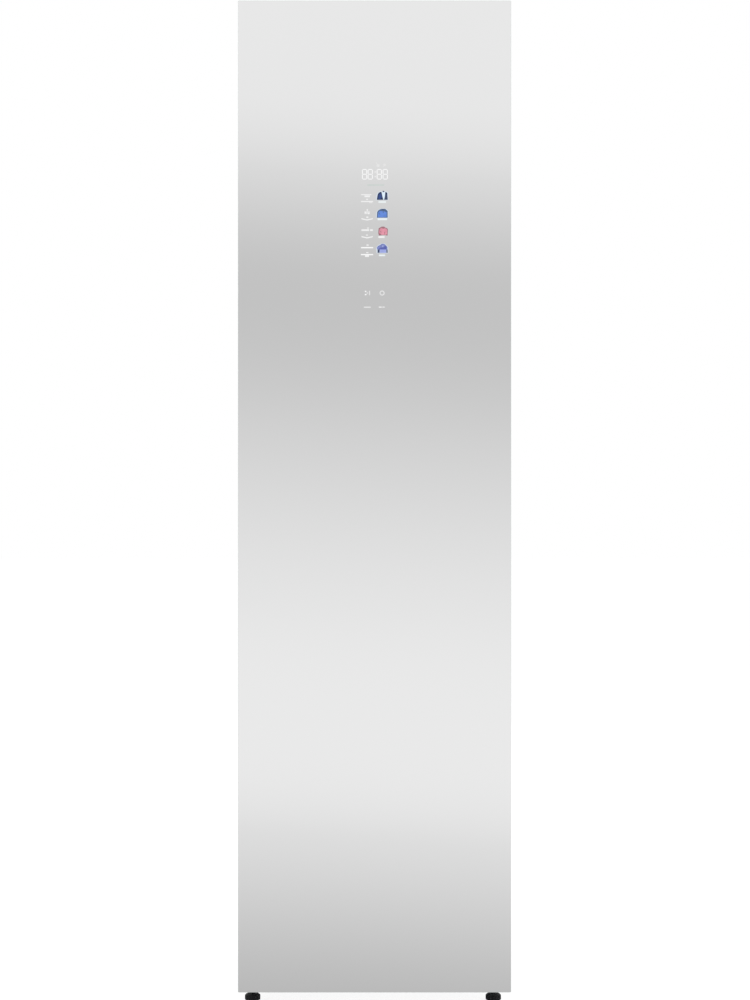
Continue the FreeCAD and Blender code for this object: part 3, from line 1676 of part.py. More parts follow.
def compressor():
    """The domed refrigerant compressor on its foot plate."""
    low = compressor_low
    can = rod(compressor_radius, (compressor_x, compressor_y, low), UP, compressor_height)
    can = rounded(can, compressor_dome, lambda edge: edge.Closed and lies_at(edge, UP, compressor_top))
    feet = []
    for index, (x, y) in enumerate(compressor_feet()):
        feet.append(rod(mount_radius + 4, (x, y, low), UP, foot_plate))
        arm = block((0, compressor_foot_radius), (-mount_radius, mount_radius), (0, foot_plate))
        arm.rotate(Vector(0, 0, 0), UP, 90 + 120 * index)
        arm.translate(Vector(compressor_x, compressor_y, low))
        feet.append(arm)
    stub_foot = (compressor_x + compressor_stub_offset, compressor_y, compressor_top - 6)
    stub = rod(pipe_radius + 2, stub_foot, UP, compressor_stub_rise + 6)
    return joined([can] + feet + [stub])


def compressor_mounts():
    """The three rubber mounts under the compressor."""
    return group([rod(mount_radius, (x, y, pan_top), UP, mount_height) for x, y in compressor_feet()])


def steam_generator():
    """The boiler on four legs, with a heater flange on its front."""
    x, y = (generator_left, generator_right), (generator_front, generator_back)
    z = (generator_low, generator_high)
    boiler = rounded(block(x, y, z), generator_edge_round, lambda edge: runs_along(edge, UP))
    inset = generator_leg_inset
    legs = []
    for leg_x in (x[0] + inset, x[1] - inset):
        for leg_y in (y[0] + inset, y[1] - inset):
            legs.append(rod(generator_leg_radius, (leg_x, leg_y, pan_top), UP, generator_leg_height + 1))
    flange_place = ((x[0] + x[1]) / 2, y[0] - 6, z[0] + heater_flange_rise)
    flange = rod(heater_flange_radius, flange_place, ALONG_Y, 8)
    return joined([boiler, flange] + legs)


def steam_pipe():
    """The riser from the boiler to the nozzle in the chamber's floor."""
    outer = rod(
        steam_pipe_radius, (steam_pipe_x, steam_pipe_y, generator_high), UP, chamber_floor - generator_high
    )
    bore = rod(
        steam_pipe_radius - 2,
        (steam_pipe_x, steam_pipe_y, generator_high - 1),
        UP,
        chamber_floor - generator_high + 2,
    )
    return cut(outer, [bore])


def steam_nozzle():
    """The domed nozzle in the floor grille, with a ring of steam holes."""
    dome = rod(nozzle_radius - seat_gap, (steam_pipe_x, steam_pipe_y, chamber_floor), UP, nozzle_height)
    dome = rounded(dome, 5.0, lambda edge: edge.Closed and lies_at(edge, UP, chamber_floor + nozzle_height))
    well = rod(
        steam_pipe_radius + 6, (steam_pipe_x, steam_pipe_y, chamber_floor - 1), UP, nozzle_height - 2
    )
    holes = []
    for index in range(nozzle_hole_count):
        angle = 2 * math.pi * index / nozzle_hole_count
        reach = steam_pipe_radius + 1
        holes.append(
            rod(
                nozzle_hole_radius,
                (
                    steam_pipe_x + reach * math.cos(angle),
                    steam_pipe_y + reach * math.sin(angle),
                    chamber_floor,
                ),
                UP,
                nozzle_height + 1,
            )
        )
    return cut(dome, [well] + holes)


def pump_places():
    """The X place of each pump."""
    return (supply_pump_x, drain_pump_x)


def pump_axis_z():
    """The height of the pumps' motor axis."""
    return pan_top + pump_height / 2


def spout_z():
    """The height of the hoses between the tank bay and the pumps."""
    return pump_axis_z() + pump_height * 0.25


def water_pumps():
    """The supply pump and the drain pump, each a block with a motor can behind."""
    pumps = []
    for x in pump_places():
        head = block(
            (x - pump_width / 2, x + pump_width / 2),
            (pump_y, pump_y + pump_length * 0.45),
            (pan_top, pan_top + pump_height),
        )
        can = rod(pump_height * 0.4, (x, pump_y, pump_axis_z()), ALONG_Y, pump_length)
        pumps.append(joined([head, can]))
    return group(pumps)


def water_hoses():
    """The hoses from the tank bay to the pumps and from the supply pump to the boiler."""
    start = bay_back + moulded_wall
    hoses = [rod(hose_radius, (x, start, spout_z()), ALONG_Y, pump_y - start) for x in pump_places()]
    feed_x, feed_y = supply_pump_x - hose_port_inset, pump_y + pump_length * 0.22
    out_x, out_y = feed_x - hose_shift, (feed_y + generator_front) / 2
    high, feed_z = pan_top + pump_height + hose_rise, generator_low + hose_entry
    feed = [
        (feed_x, feed_y, pan_top + pump_height),
        (feed_x, feed_y, high),
        (out_x, feed_y, high),
        (out_x, out_y, high),
        (out_x, out_y, feed_z),
        (out_x, generator_front, feed_z),
    ]
    return group(hoses + [tube(feed, hose_radius, pipe_bend)])


def refrigerant_pipes():
    """The copper pipes from the compressor to the condenser and back from the evaporator."""
    stub_x, stub_top = compressor_x + compressor_stub_offset, compressor_top + compressor_stub_rise
    out_x, port_z = duct_right + pipe_clear_of_duct, duct_deep_bottom + pipe_port_height
    hot_y = condenser_front + exchanger_thickness / 2
    hot = tube(
        [
            (stub_x, compressor_y, stub_top),
            (stub_x, compressor_y, stub_top + pipe_rise),
            (out_x, hot_y, stub_top + pipe_rise),
            (out_x, hot_y, port_z),
            (duct_right, hot_y, port_z),
        ],
        pipe_radius,
        pipe_bend * 0.5,
    )
    cold_y = evaporator_front + exchanger_thickness / 2
    cold_z = (compressor_low + compressor_top) / 2
    axis, corner = Vector(compressor_x, compressor_y, cold_z), Vector(out_x, cold_y, cold_z)
    on_can = axis + (corner - axis).normalize() * compressor_radius
    cold = tube(
        [(duct_right, cold_y, port_z), (out_x, cold_y, port_z), corner, on_can], pipe_radius, pipe_bend
    )
    return group([hot, cold])


def control_box():
    """The flame-proof tray over the control board, standing on the liner's roof."""
    z = (liner_roof, liner_roof + control_height)
    outer = block((control_left, control_right), (control_front, control_back), z)
    outer = rounded(outer, 5.0, lambda edge: runs_along(edge, UP))
    wall = moulded_wall
    inner = block(
        (control_left + wall, control_right - wall),
        (control_front + wall, control_back - wall),
        (z[0] + wall, z[1] + 1),
    )
    return cut(outer, [inner])


def control_board():
    """The control board with its transformer, relays and capacitors."""
    low = liner_roof + moulded_wall
    gap = moulded_wall + slip_gap
    x, y = (control_left + gap, control_right - gap), (control_front + gap, control_back - gap)
    top = low + board_thickness
    left, front, right, back = (
        x[0] + board_border, y[0] + board_border, x[1] - board_border, y[1] - board_border
    )
    pieces = [
        block(x, y, (low, top)),
        block(
            (left, left + transformer_width),
            (front, front + transformer_depth),
            (top, top + transformer_height),
        ),
    ]
    for index in range(relay_count):
        start = left + index * relay_pitch
        pieces.append(
            block((start, start + relay_width), (back - relay_depth, back), (top, top + relay_height))
        )
    for index in range(capacitor_count):
        place = (right - capacitor_radius - index * capacitor_pitch, front + board_border, top)
        pieces.append(rod(capacitor_radius, place, UP, capacitor_height))
    return joined(pieces)


# ---------------------------------------------------------------- writing the sub-parts
SUB_PARTS = [
    side_panel_left, side_panel_right, front_frame, top_cover, rear_panel, base_pan, foot_front_left,
    foot_front_right, rear_feet, top_hinge, bottom_hinge, hinge_screws, case_screws, cord_gland,
    door_glass, door_frame, door_bushes, door_insulation, door_inner_panel, door_gasket,
    display_housing, display_board, chamber_liner, shelf_rails, floor_grille, insulation, shelf,
    lamp_lens, rail_brackets, rail_bushes, hanger_rail, rail_yoke, crank, shaker_bridge, shaker_motor,
    hanger_left, hanger_middle, hanger_right, lint_filter, scent_cartridge, tank_bay, supply_tank,
    drain_tank, tank_lids, air_duct, evaporator, condenser, fan_housing, fan_impeller, fan_motor,
    compressor, compressor_mounts, steam_generator, steam_pipe, steam_nozzle, water_pumps, water_hoses,
    refrigerant_pipes, control_box, control_board,
]


def write_all():
    os.makedirs("parts", exist_ok=True)
    for make in SUB_PARTS:
        make().exportStep(os.path.join("parts", make.__name__ + ".step"))


write_all()
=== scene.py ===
"""Clothes care steam cabinet: finishes, fine pieces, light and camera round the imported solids.

Lengths are in metres, in the frame of the solids: Z up, the door facing -Y.
"""

import json
import math
import random

import bmesh
import bpy
from mathutils import Matrix, Vector


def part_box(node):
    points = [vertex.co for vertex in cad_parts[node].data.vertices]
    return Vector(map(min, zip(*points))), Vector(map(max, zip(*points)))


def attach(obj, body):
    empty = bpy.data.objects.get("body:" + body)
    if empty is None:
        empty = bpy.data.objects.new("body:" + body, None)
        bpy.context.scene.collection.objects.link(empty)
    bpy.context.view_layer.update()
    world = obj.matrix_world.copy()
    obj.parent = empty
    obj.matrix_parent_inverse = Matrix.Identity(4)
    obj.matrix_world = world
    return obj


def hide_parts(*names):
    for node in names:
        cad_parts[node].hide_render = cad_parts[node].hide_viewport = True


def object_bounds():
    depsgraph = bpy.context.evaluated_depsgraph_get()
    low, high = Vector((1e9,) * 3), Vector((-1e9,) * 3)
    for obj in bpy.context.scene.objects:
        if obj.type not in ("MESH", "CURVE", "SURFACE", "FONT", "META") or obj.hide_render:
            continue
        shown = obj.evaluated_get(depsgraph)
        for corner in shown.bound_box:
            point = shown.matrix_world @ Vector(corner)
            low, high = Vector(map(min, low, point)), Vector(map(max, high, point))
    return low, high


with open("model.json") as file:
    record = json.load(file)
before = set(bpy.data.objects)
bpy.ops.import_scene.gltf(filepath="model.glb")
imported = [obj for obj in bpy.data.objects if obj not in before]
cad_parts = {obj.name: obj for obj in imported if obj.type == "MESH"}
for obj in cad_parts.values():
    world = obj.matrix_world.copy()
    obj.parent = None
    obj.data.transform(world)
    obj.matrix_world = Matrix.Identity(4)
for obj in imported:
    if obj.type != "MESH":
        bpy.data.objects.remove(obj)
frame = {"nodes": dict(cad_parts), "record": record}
cad_low, cad_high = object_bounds()
record = frame["record"]
BASE_COLOURS = {row["slot"]: tuple(row["base_color"]) for row in record["materials"]}
SLOT_OF = {row["node"]: row["material_slot"] for row in record["subparts"]}
MM = 0.001


# ------------ node trees
class Tree:
    """Adds and joins the nodes of one shader, world or geometry tree."""

    def __init__(self, tree):
        self.tree = tree

    def put(self, socket, value):
        if isinstance(value, bpy.types.Node):
            value = value.outputs[0]
        if isinstance(value, bpy.types.NodeSocket):
            self.tree.links.new(value, socket)
        else:
            socket.default_value = value

    def feed(self, node, inputs):
        for key, value in inputs.items():
            self.put(node.inputs[key], value)
        return node

    def add(self, kind, inputs=None, **settings):
        node = self.tree.nodes.new(kind)
        for name, value in settings.items():
            setattr(node, name, value)
        return self.feed(node, inputs or {})

    def maths(self, operation, a, b=0.0):
        return self.add("ShaderNodeMath", {0: a, 1: b}, operation=operation).outputs[0]

    def span(self, value, low, high, start=0.0, end=1.0):
        """The value's range start..end stretched to low..high."""
        inputs = {0: value, 1: start, 2: end, 3: low, 4: high}
        return self.add("ShaderNodeMapRange", inputs).outputs[0]

    def mixed(self, share, a, b):
        """The colour a turning into the colour b."""
        return self.add("ShaderNodeMix", {0: share, 6: a, 7: b}, data_type="RGBA").outputs[2]

    def noise(self, place, scale, detail=2.0):
        inputs = {"Vector": place, "Scale": scale, "Detail": detail}
        return self.add("ShaderNodeTexNoise", inputs).outputs[0]

    def cells(self, place, scale, feature="F1"):
        return self.add("ShaderNodeTexVoronoi", {"Vector": place, "Scale": scale}, feature=feature).outputs

    def stretched(self, place, scale):
        return self.add("ShaderNodeMapping", {"Vector": place, "Scale": scale}).outputs[0]

    def times(self, a, b):
        return self.maths("MULTIPLY", a, b)

    def plus(self, a, b):
        return self.maths("ADD", a, b)

    def place(self):
        """Where a point lies in the cabinet's own frame."""
        return self.add("ShaderNodeTexCoord").outputs["Object"]

    def part_of(self, vector, axis):
        return self.add("ShaderNodeSeparateXYZ", {0: vector}).outputs[axis]

    def facing(self):
        return self.add("ShaderNodeNewGeometry").outputs["Normal"]


SOCKETS = {
    int: "NodeSocketInt", float: "NodeSocketFloat", tuple: "NodeSocketVector", str: "NodeSocketMaterial"
}


def named_inputs(tree, inputs):
    for name, value in inputs.items():
        socket = tree.interface.new_socket(name, in_out="INPUT", socket_type=SOCKETS[type(value)])
        if not isinstance(value, str):
            socket.default_value = value


def shader_group(name, inputs, **outputs):
    """A shader group with named inputs and outputs: its tree, its inputs and its end node."""
    tree = bpy.data.node_groups.new(name, "ShaderNodeTree")
    named_inputs(tree, inputs)
    for label, kind in outputs.items():
        tree.interface.new_socket(label, in_out="OUTPUT", socket_type=SOCKETS[kind])
    t = Tree(tree)
    return t, t.add("NodeGroupInput").outputs, t.add("NodeGroupOutput").inputs


# ------------ effects that finishes share
TONE_SIZE = 0.17


def skin_group(name, relief):
    """A surface skin. relief gives its height and its mask from the tree, the place and the scale."""
    inputs = {"Size": 0.001, "Depth": 0.00002, "Normal": (0.0, 0.0, 0.0)}
    t, given, end = shader_group(name, inputs, Mask=float, Normal=tuple)
    place = t.place()
    scale = t.maths("DIVIDE", 1.0, given["Size"])
    height, mask = relief(t, place, scale)
    bump = {"Strength": 1.0, "Distance": given["Depth"], "Height": height, "Normal": given["Normal"]}
    t.put(end["Normal"], t.add("ShaderNodeBump", bump))
    tone = t.noise(place, 1 / TONE_SIZE, 3.0)
    t.put(end["Mask"], t.plus(t.times(mask, 0.55), t.times(tone, 0.45)))
    return t.tree


def grain_relief(t, place, scale):
    """The fine pebbled grain that a tool leaves on moulded plastic."""
    pebbles = t.cells(place, scale, "SMOOTH_F1")[0]
    fine = t.noise(place, t.times(scale, 2.3), 3.0)
    return t.plus(pebbles, t.times(fine, 0.4)), fine


def paint_relief(t, place, scale):
    """The orange peel of sprayed paint, over the slow waves of rolled sheet."""
    peel = t.noise(place, scale, 1.0)
    waves = t.noise(place, t.times(scale, 0.06), 1.0)
    return t.plus(peel, t.times(waves, 2.0)), peel


def spangle_relief(t, place, scale):
    """The feathered crystals of hot-dipped zinc."""
    coarse = {"Vector": place, "Scale": t.times(scale, 1.4), "Detail": 3.0}
    warp = t.add("ShaderNodeTexNoise", coarse)
    bent = t.add("ShaderNodeMix", {0: 0.035, 4: place, 5: warp.outputs["Color"]}, data_type="VECTOR")
    crystals = t.cells(bent.outputs[1], scale)
    tone = t.add("ShaderNodeSeparateColor", {0: crystals["Color"]}).outputs[0]
    return t.plus(crystals[0], tone), tone


def brushed_relief(t, place, scale):
    """Long fine lines left by brushing or drawing."""
    lines = t.noise(t.stretched(place, (1.0, 1.0, 0.02)), scale, 4.0)
    return lines, lines


def fibre_relief(t, place, scale):
    """Pressed fibres that lie every way."""
    across = t.noise(t.stretched(place, (1.0, 0.25, 0.06)), scale, 4.0)
    along = t.noise(t.stretched(place, (0.06, 0.25, 1.0)), scale, 4.0)
    height = t.maths("MAXIMUM", across, along)
    return height, height


def cast_relief(t, place, scale):
    """The sandy, slightly pitted skin of a casting."""
    sand = t.noise(place, scale, 5.0)
    pits = t.span(t.cells(place, t.times(scale, 0.35))[0], -0.8, 0.0, 0.05, 0.3)
    return t.plus(sand, pits), sand


def track_relief(t, place, scale):
    """Copper tracks under solder mask."""
    bricks = {"Vector": place, "Scale": scale, "Mortar Size": 0.09, "Mortar Smooth": 0.2, "Bias": 0.1}
    turned = t.add("ShaderNodeMapping", {"Vector": place, "Rotation": (math.pi / 2, 0.0, 0.0)}).outputs[0]
    flat = t.add("ShaderNodeTexBrick", bricks).outputs["Fac"]
    upright = t.add("ShaderNodeTexBrick", {**bricks, "Vector": turned}).outputs["Fac"]
    tracks = t.maths("MAXIMUM", flat, upright)
    return tracks, tracks


def smear_relief(t, place, scale):
    """Wiped streaks and soft waves on a glossy face."""
    wipes = t.noise(t.stretched(place, (1.0, 1.0, 0.3)), scale, 3.0)
    return t.noise(place, t.times(scale, 0.4), 0.0), wipes


SKINS = {
    "grain": skin_group("moulded grain", grain_relief),
    "paint": skin_group("sprayed paint", paint_relief),
    "spangle": skin_group("zinc spangle", spangle_relief),
    "brushed": skin_group("brushed lines", brushed_relief),
    "fibre": skin_group("pressed fibres", fibre_relief),
    "cast": skin_group("cast skin", cast_relief),
    "tracks": skin_group("board tracks", track_relief),
    "smear": skin_group("wiped gloss", smear_relief),
}


def edge_group():
    """Softened edges, with a broken mask where hands and cloths have rubbed them."""
    inputs = {"Radius": 0.0005, "Wear": 0.2}
    t, given, end = shader_group("softened edge", inputs, Mask=float, Normal=tuple)
    soft = t.add("ShaderNodeBevel", {"Radius": given["Radius"]}, samples=4)
    sharp = t.facing()
    likeness = t.add("ShaderNodeVectorMath", {0: soft, 1: sharp}, operation="DOT_PRODUCT").outputs["Value"]
    place = t.place()
    patches = t.span(t.noise(place, 60.0, 4.0), 0.0, 1.0, 0.42, 0.62)
    rubbed = t.times(t.span(likeness, 1.0, 0.0, 0.72, 0.97), patches)
    t.put(end["Mask"], t.times(rubbed, given["Wear"]))
    t.put(end["Normal"], soft)
    return t.tree


def dust_group():
    """Dust settled on what faces up."""
    t, given, end = shader_group("settled dust", {"Amount": 0.2}, Mask=float)
    up = t.part_of(t.facing(), "Z")
    place = t.place()
    drifts = t.span(t.noise(place, 35.0, 5.0), 0.2, 1.0, 0.35, 0.7)
    lying = t.times(t.span(up, 0.0, 1.0, 0.35, 1.0), drifts)
    t.put(end["Mask"], t.times(lying, given["Amount"]))
    return t.tree


SOFTENED_EDGE, SETTLED_DUST = edge_group(), dust_group()
DUST_COLOUR = (0.62, 0.61, 0.59, 1.0)


# ------------ finishes
def grey(level):
    return (level, level, level, 1.0)


def shade(colour, factor):
    return tuple(min(1.0, c * factor) for c in colour[:3]) + (1.0,)


def new_shader(name, plain):
    """A material, its tree and its shader with these plain values."""
    material = bpy.data.materials.new(name)
    material.use_nodes = True
    t = Tree(material.node_tree)
    return material, t, t.feed(material.node_tree.nodes["Principled BSDF"], plain)


MASK_RANGE = (0.3, 0.7)
PALE, RUBBED_PALE, RUBBED_DARK = 0.9, 0.72, 2.6


def finish(
    slot, skin, size, depth, rough, spread=0.04, edge=0.5, wear=0.15, dust=0.0, plain=None, colour=None
):
    """One finish: its skin, its tone, its rubbed edges and its dust over the slot's own colour.

    size and depth of the skin's grain and the edge's radius are in millimetres.
    """
    material, t, shader = new_shader(slot, plain or {})
    base = colour or BASE_COLOURS[slot]
    rubbing = {"Radius": edge * MM, "Wear": wear}
    softened = t.add("ShaderNodeGroup", rubbing, node_tree=SOFTENED_EDGE)
    grain = {"Size": size * MM, "Depth": depth * MM, "Normal": softened.outputs["Normal"]}
    surface = t.add("ShaderNodeGroup", grain, node_tree=SKINS[skin])
    mask = surface.outputs["Mask"]
    patches = t.span(mask, 0.0, 1.0, *MASK_RANGE)
    tone = t.mixed(patches, shade(base, 1 - spread), shade(base, 1 + spread))
    rubbed = shade(base, RUBBED_PALE if sum(base) > PALE else RUBBED_DARK)
    tone = t.mixed(softened.outputs["Mask"], tone, rubbed)
    roughness = t.span(mask, *rough, *MASK_RANGE)
    if dust:
        lying = t.add("ShaderNodeGroup", {"Amount": dust}, node_tree=SETTLED_DUST)
        tone = t.mixed(lying, tone, DUST_COLOUR)
        roughness = t.plus(roughness, t.times(lying, 0.4))
    normal = surface.outputs["Normal"]
    t.feed(shader, {"Base Color": tone, "Roughness": roughness, "Normal": normal})
    return material


METAL = {"Metallic": 1.0}
SOFT_PLASTIC = {"Specular IOR Level": 0.4}
DULL = {"Specular IOR Level": 0.22}
LACQUER = {"Coat Weight": 0.2, "Coat Roughness": 0.2}
CLEAR = {"Transmission Weight": 0.5, "IOR": 1.49}
FROSTED = {"Transmission Weight": 0.4, "IOR": 1.49}
FOOT_BLACK = (0.008, 0.008, 0.009, 1.0)
# Each finish: its skin, size, depth and range of roughness, and what else it sets.
FINISH_ROWS = {
    "door_frame": ("grain", 1.1, 0.012, (0.36, 0.46), dict(wear=0.25)),
    "panel": ("paint", 2.6, 0.012, (0.30, 0.40), dict(spread=0.025, dust=0.1, plain=LACQUER)),
    "front_frame": ("paint", 2.2, 0.010, (0.30, 0.38), dict(spread=0.02, plain=LACQUER)),
    "cover": ("grain", 0.9, 0.020, (0.45, 0.58), dict(dust=0.3)),
    "galvanised": ("spangle", 5.0, 0.004, (0.30, 0.42), dict(spread=0.07, dust=0.1, plain=METAL)),
    "foot": (
        "grain", 0.7, 0.030, (0.5, 0.64),
        dict(spread=0.3, edge=0.7, wear=0.3, dust=0.02, plain=DULL, colour=FOOT_BLACK),
    ),
    "hinge": ("brushed", 0.5, 0.006, (0.24, 0.38), dict(spread=0.08, wear=0.3, plain=METAL)),
    "screw": ("brushed", 0.35, 0.004, (0.2, 0.32), dict(spread=0.08, edge=0.2, wear=0.3, plain=METAL)),
    "gland": ("grain", 0.6, 0.020, (0.4, 0.52), dict(spread=0.15)),
    "liner": (
        "grain", 1.4, 0.014, (0.34, 0.45),
        dict(spread=0.02, edge=1.2, wear=0.08, plain=SOFT_PLASTIC),
    ),
    "grille": ("grain", 1.0, 0.014, (0.36, 0.48), dict(spread=0.03, dust=0.1)),
    "felt": ("fibre", 0.6, 0.16, (0.88, 0.97), dict(spread=0.14, plain={"Sheen Weight": 0.3})),
    "shelf": ("grain", 1.2, 0.014, (0.34, 0.46), dict(spread=0.03, edge=1.0, dust=0.06)),
    "bracket": ("grain", 0.8, 0.010, (0.26, 0.36), dict(wear=0.25)),
    "nylon": ("grain", 0.6, 0.010, (0.38, 0.5), dict(plain={"Subsurface Weight": 0.15})),
    "motor": ("paint", 1.8, 0.014, (0.34, 0.44), dict(spread=0.08, wear=0.4)),
    "bay": ("grain", 1.3, 0.018, (0.42, 0.56), dict(spread=0.06)),
    "lid": ("smear", 30.0, 0.004, (0.16, 0.26), dict(spread=0.015, edge=0.8)),
    "duct": ("grain", 1.4, 0.022, (0.5, 0.64), dict(spread=0.1, dust=0.2)),
    "fins": ("brushed", 0.4, 0.004, (0.26, 0.4), dict(spread=0.06, edge=0.1, plain=METAL)),
    "compressor": ("paint", 3.0, 0.020, (0.12, 0.22), dict(spread=0.2, edge=1.0, wear=0.3, dust=0.35)),
    "rubber": ("grain", 0.5, 0.020, (0.66, 0.82), dict(spread=0.2, dust=0.2)),
    "boiler": ("cast", 1.0, 0.060, (0.42, 0.6), dict(spread=0.1, edge=1.2, wear=0.3, plain=METAL)),
    "hose": ("smear", 14.0, 0.006, (0.38, 0.5), dict(plain={"Subsurface Weight": 0.2})),
    "nozzle": ("grain", 0.7, 0.010, (0.24, 0.34), dict(spread=0.06, edge=0.8)),
    "pump": ("grain", 1.0, 0.020, (0.44, 0.58), dict(spread=0.12, dust=0.15)),
    "copper": ("brushed", 0.8, 0.004, (0.22, 0.42), dict(spread=0.18, wear=0.2, plain=METAL)),
    "gasket": ("smear", 20.0, 0.010, (0.5, 0.62), dict(spread=0.04, edge=0.8, wear=0.1)),
    "housing": ("grain", 0.9, 0.018, (0.5, 0.64), dict(spread=0.2)),
    "chrome": ("brushed", 0.5, 0.0006, (0.04, 0.12), dict(spread=0.02, edge=0.3, plain=METAL)),
    "impeller": ("grain", 0.8, 0.012, (0.36, 0.5), dict(spread=0.12, dust=0.1)),
    "filter": ("grain", 0.8, 0.012, (0.34, 0.46), dict(spread=0.05)),
    "cartridge": ("grain", 0.8, 0.012, (0.32, 0.44), dict(spread=0.02, edge=0.8)),
    "board": ("tracks", 4.0, 0.030, (0.26, 0.4), dict(spread=0.28, edge=0.2)),
    "hanger": ("grain", 0.9, 0.010, (0.22, 0.34), dict(spread=0.08, edge=1.0, wear=0.3)),
    "tank_clear": ("smear", 24.0, 0.02, (0.04, 0.12), dict(spread=0.05, edge=1.5, wear=0.1, plain=CLEAR)),
    "tank_grey": ("smear", 24.0, 0.02, (0.05, 0.14), dict(spread=0.05, edge=1.5, wear=0.1, plain=CLEAR)),
    "lens": ("grain", 1.6, 0.02, (0.4, 0.5), dict(spread=0.02, edge=1.0, plain=FROSTED)),
}
FINISHES = {slot: finish(slot, *row, **more) for slot, (*row, more) in FINISH_ROWS.items()}


def finished(material):
    """The tree and the shader of a finished material, and the tone that it has so far."""
    shader = material.node_tree.nodes["Principled BSDF"]
    return Tree(material.node_tree), shader, shader.inputs["Base Color"].links[0].from_socket


def hanger_with_steel_hook(root_z):
    """Moulded arms below, and a bright steel wire above the collar."""
    t, shader, moulded_tone = finished(FINISHES["hanger"])
    place = t.place()
    steel = t.maths("GREATER_THAN", t.part_of(place, "Z"), root_z)
    moulded_rough = shader.inputs["Roughness"].links[0].from_socket
    streaks = t.noise(t.stretched(place, (1.0, 1.0, 0.05)), 900.0, 3.0)
    bright = t.mixed(streaks, (0.66, 0.67, 0.69, 1.0), (0.82, 0.83, 0.85, 1.0))
    tone = t.mixed(steel, moulded_tone, bright)
    change = t.times(steel, t.maths("SUBTRACT", t.span(streaks, 0.1, 0.24), moulded_rough))
    rough = t.plus(moulded_rough, change)
    t.feed(shader, {"Base Color": tone, "Roughness": rough, "Metallic": steel})


BARE_BOARD, BEYOND = 1.7 * MM, 10 * MM
HOOK_HEIGHT = 62 * MM


def board_with_parts(node, axis, side):
    """Dark moulded parts where a board's solid stands proud of the bare board on this side."""
    low, high = (corner["XYZ".index(axis)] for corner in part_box(node))
    start, end = (low + BARE_BOARD, high + BEYOND) if side > 0 else (low - BEYOND, high - BARE_BOARD)
    material = FINISHES["board"].copy()
    material.name = node
    t, shader, mask_tone = finished(material)
    place = t.place()
    along = t.part_of(place, axis)
    part = t.times(t.maths("GREATER_THAN", along, start), t.maths("LESS_THAN", along, end))
    casing = t.mixed(t.noise(place, 400.0), (0.016, 0.016, 0.018, 1.0), (0.05, 0.05, 0.055, 1.0))
    t.put(shader.inputs["Base Color"], t.mixed(part, mask_tone, casing))
    frame["nodes"][node].data.materials[0] = material


hanger_with_steel_hook(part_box("hanger_left")[1].z - HOOK_HEIGHT)
for node, slot in SLOT_OF.items():
    if slot == "mirror":
        continue
    mesh = frame["nodes"][node].data
    mesh.materials.clear()
    mesh.materials.append(FINISHES[slot])
board_with_parts("control_board", "Z", 1)
board_with_parts("display_board", "Y", -1)


# ------------ making pieces
def linked(name, data):
    """A new object in the scene."""
    made = bpy.data.objects.new(name, data)
    bpy.context.scene.collection.objects.link(made)
    return made


def piece(name, mesh, body, materials, replaces=()):
    """Puts a finished mesh in the scene on its body."""
    mesh.name = name
    for material in materials:
        mesh.materials.append(material)
    made = linked(name, mesh)
    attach(made, body)
    if replaces:
        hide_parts(*replaces)
    return made


def smooth(mesh, below):
    """Smooth faces, with edges that stay sharp from this angle in degrees."""
    mesh.polygons.foreach_set("use_smooth", [True] * len(mesh.polygons))
    mesh.set_sharp_from_angle(angle=math.radians(below))


def mesh_from(bm, smooth_below=None, merged=True):
    """The bmesh as a mesh, its doubles merged and its faces outwards."""
    if merged:
        bmesh.ops.remove_doubles(bm, verts=bm.verts, dist=1e-7)
    bmesh.ops.recalc_face_normals(bm, faces=bm.faces)
    mesh = bpy.data.meshes.new("made")
    bm.to_mesh(mesh)
    bm.free()
    if smooth_below:
        smooth(mesh, smooth_below)
    return mesh


def placed(x, y, z, turn=0.0):
    """The place of a form that was made about the origin, turned about X first."""
    return Matrix.Translation((x, y, z)) @ Matrix.Rotation(turn, 4, "X")


def box_and_centre(node):
    low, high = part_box(node)
    return low, high, (low + high) / 2


def rounded_bar(size, radius, segments=2):
    """A bar of this size about the origin with its edges rounded."""
    bm = bmesh.new()
    bmesh.ops.create_cube(bm, size=1.0, matrix=Matrix.Diagonal((*size, 1.0)))
    bmesh.ops.bevel(bm, geom=bm.edges[:], offset=radius, segments=segments, affect="EDGES", profile=0.5)
    return mesh_from(bm, 40)


def ring_outline(width, height, corner, steps=6):
    """A rounded rectangle about the origin, anticlockwise."""
    points = []
    for turn, (sx, sy) in enumerate(((1, 1), (-1, 1), (-1, -1), (1, -1))):
        cx, cy = sx * (width / 2 - corner), sy * (height / 2 - corner)
        for step in range(steps + 1):
            angle = (turn + step / steps) * math.pi / 2
            points.append((cx + corner * math.cos(angle), cy + corner * math.sin(angle)))
    return points


def band(bm, low, high, index=0):
    """Faces with this material index between two loops of as many vertices."""
    for k in range(len(low)):
        bm.faces.new((low[k - 1], low[k], high[k], high[k - 1])).material_index = index


def lofted(rings, caps=(0, 0), side=0):
    """A closed skin over rings of as many points, with material indices for its caps and its side."""
    bm = bmesh.new()
    loops = [[bm.verts.new(point) for point in ring] for ring in rings]
    for low, high in zip(loops, loops[1:]):
        band(bm, low, high, side)
    bm.faces.new(loops[0][::-1]).material_index = caps[0]
    bm.faces.new(loops[-1]).material_index = caps[1]
    return bm


# ------------ geometry trees
def geometry_tree(name, **inputs):
    """A geometry tree with a seed shape, named sizes and a material, and its group input."""
    tree = bpy.data.node_groups.new(name, "GeometryNodeTree")
    tree.interface.new_socket("Shape", in_out="INPUT", socket_type="NodeSocketGeometry")
    named_inputs(tree, {label.replace("_", " "): value for label, value in inputs.items()})
    named_inputs(tree, {"Material": "material"})
    tree.interface.new_socket("Shape", in_out="OUTPUT", socket_type="NodeSocketGeometry")
    t = Tree(tree)
    return t, t.add("NodeGroupInput").outputs


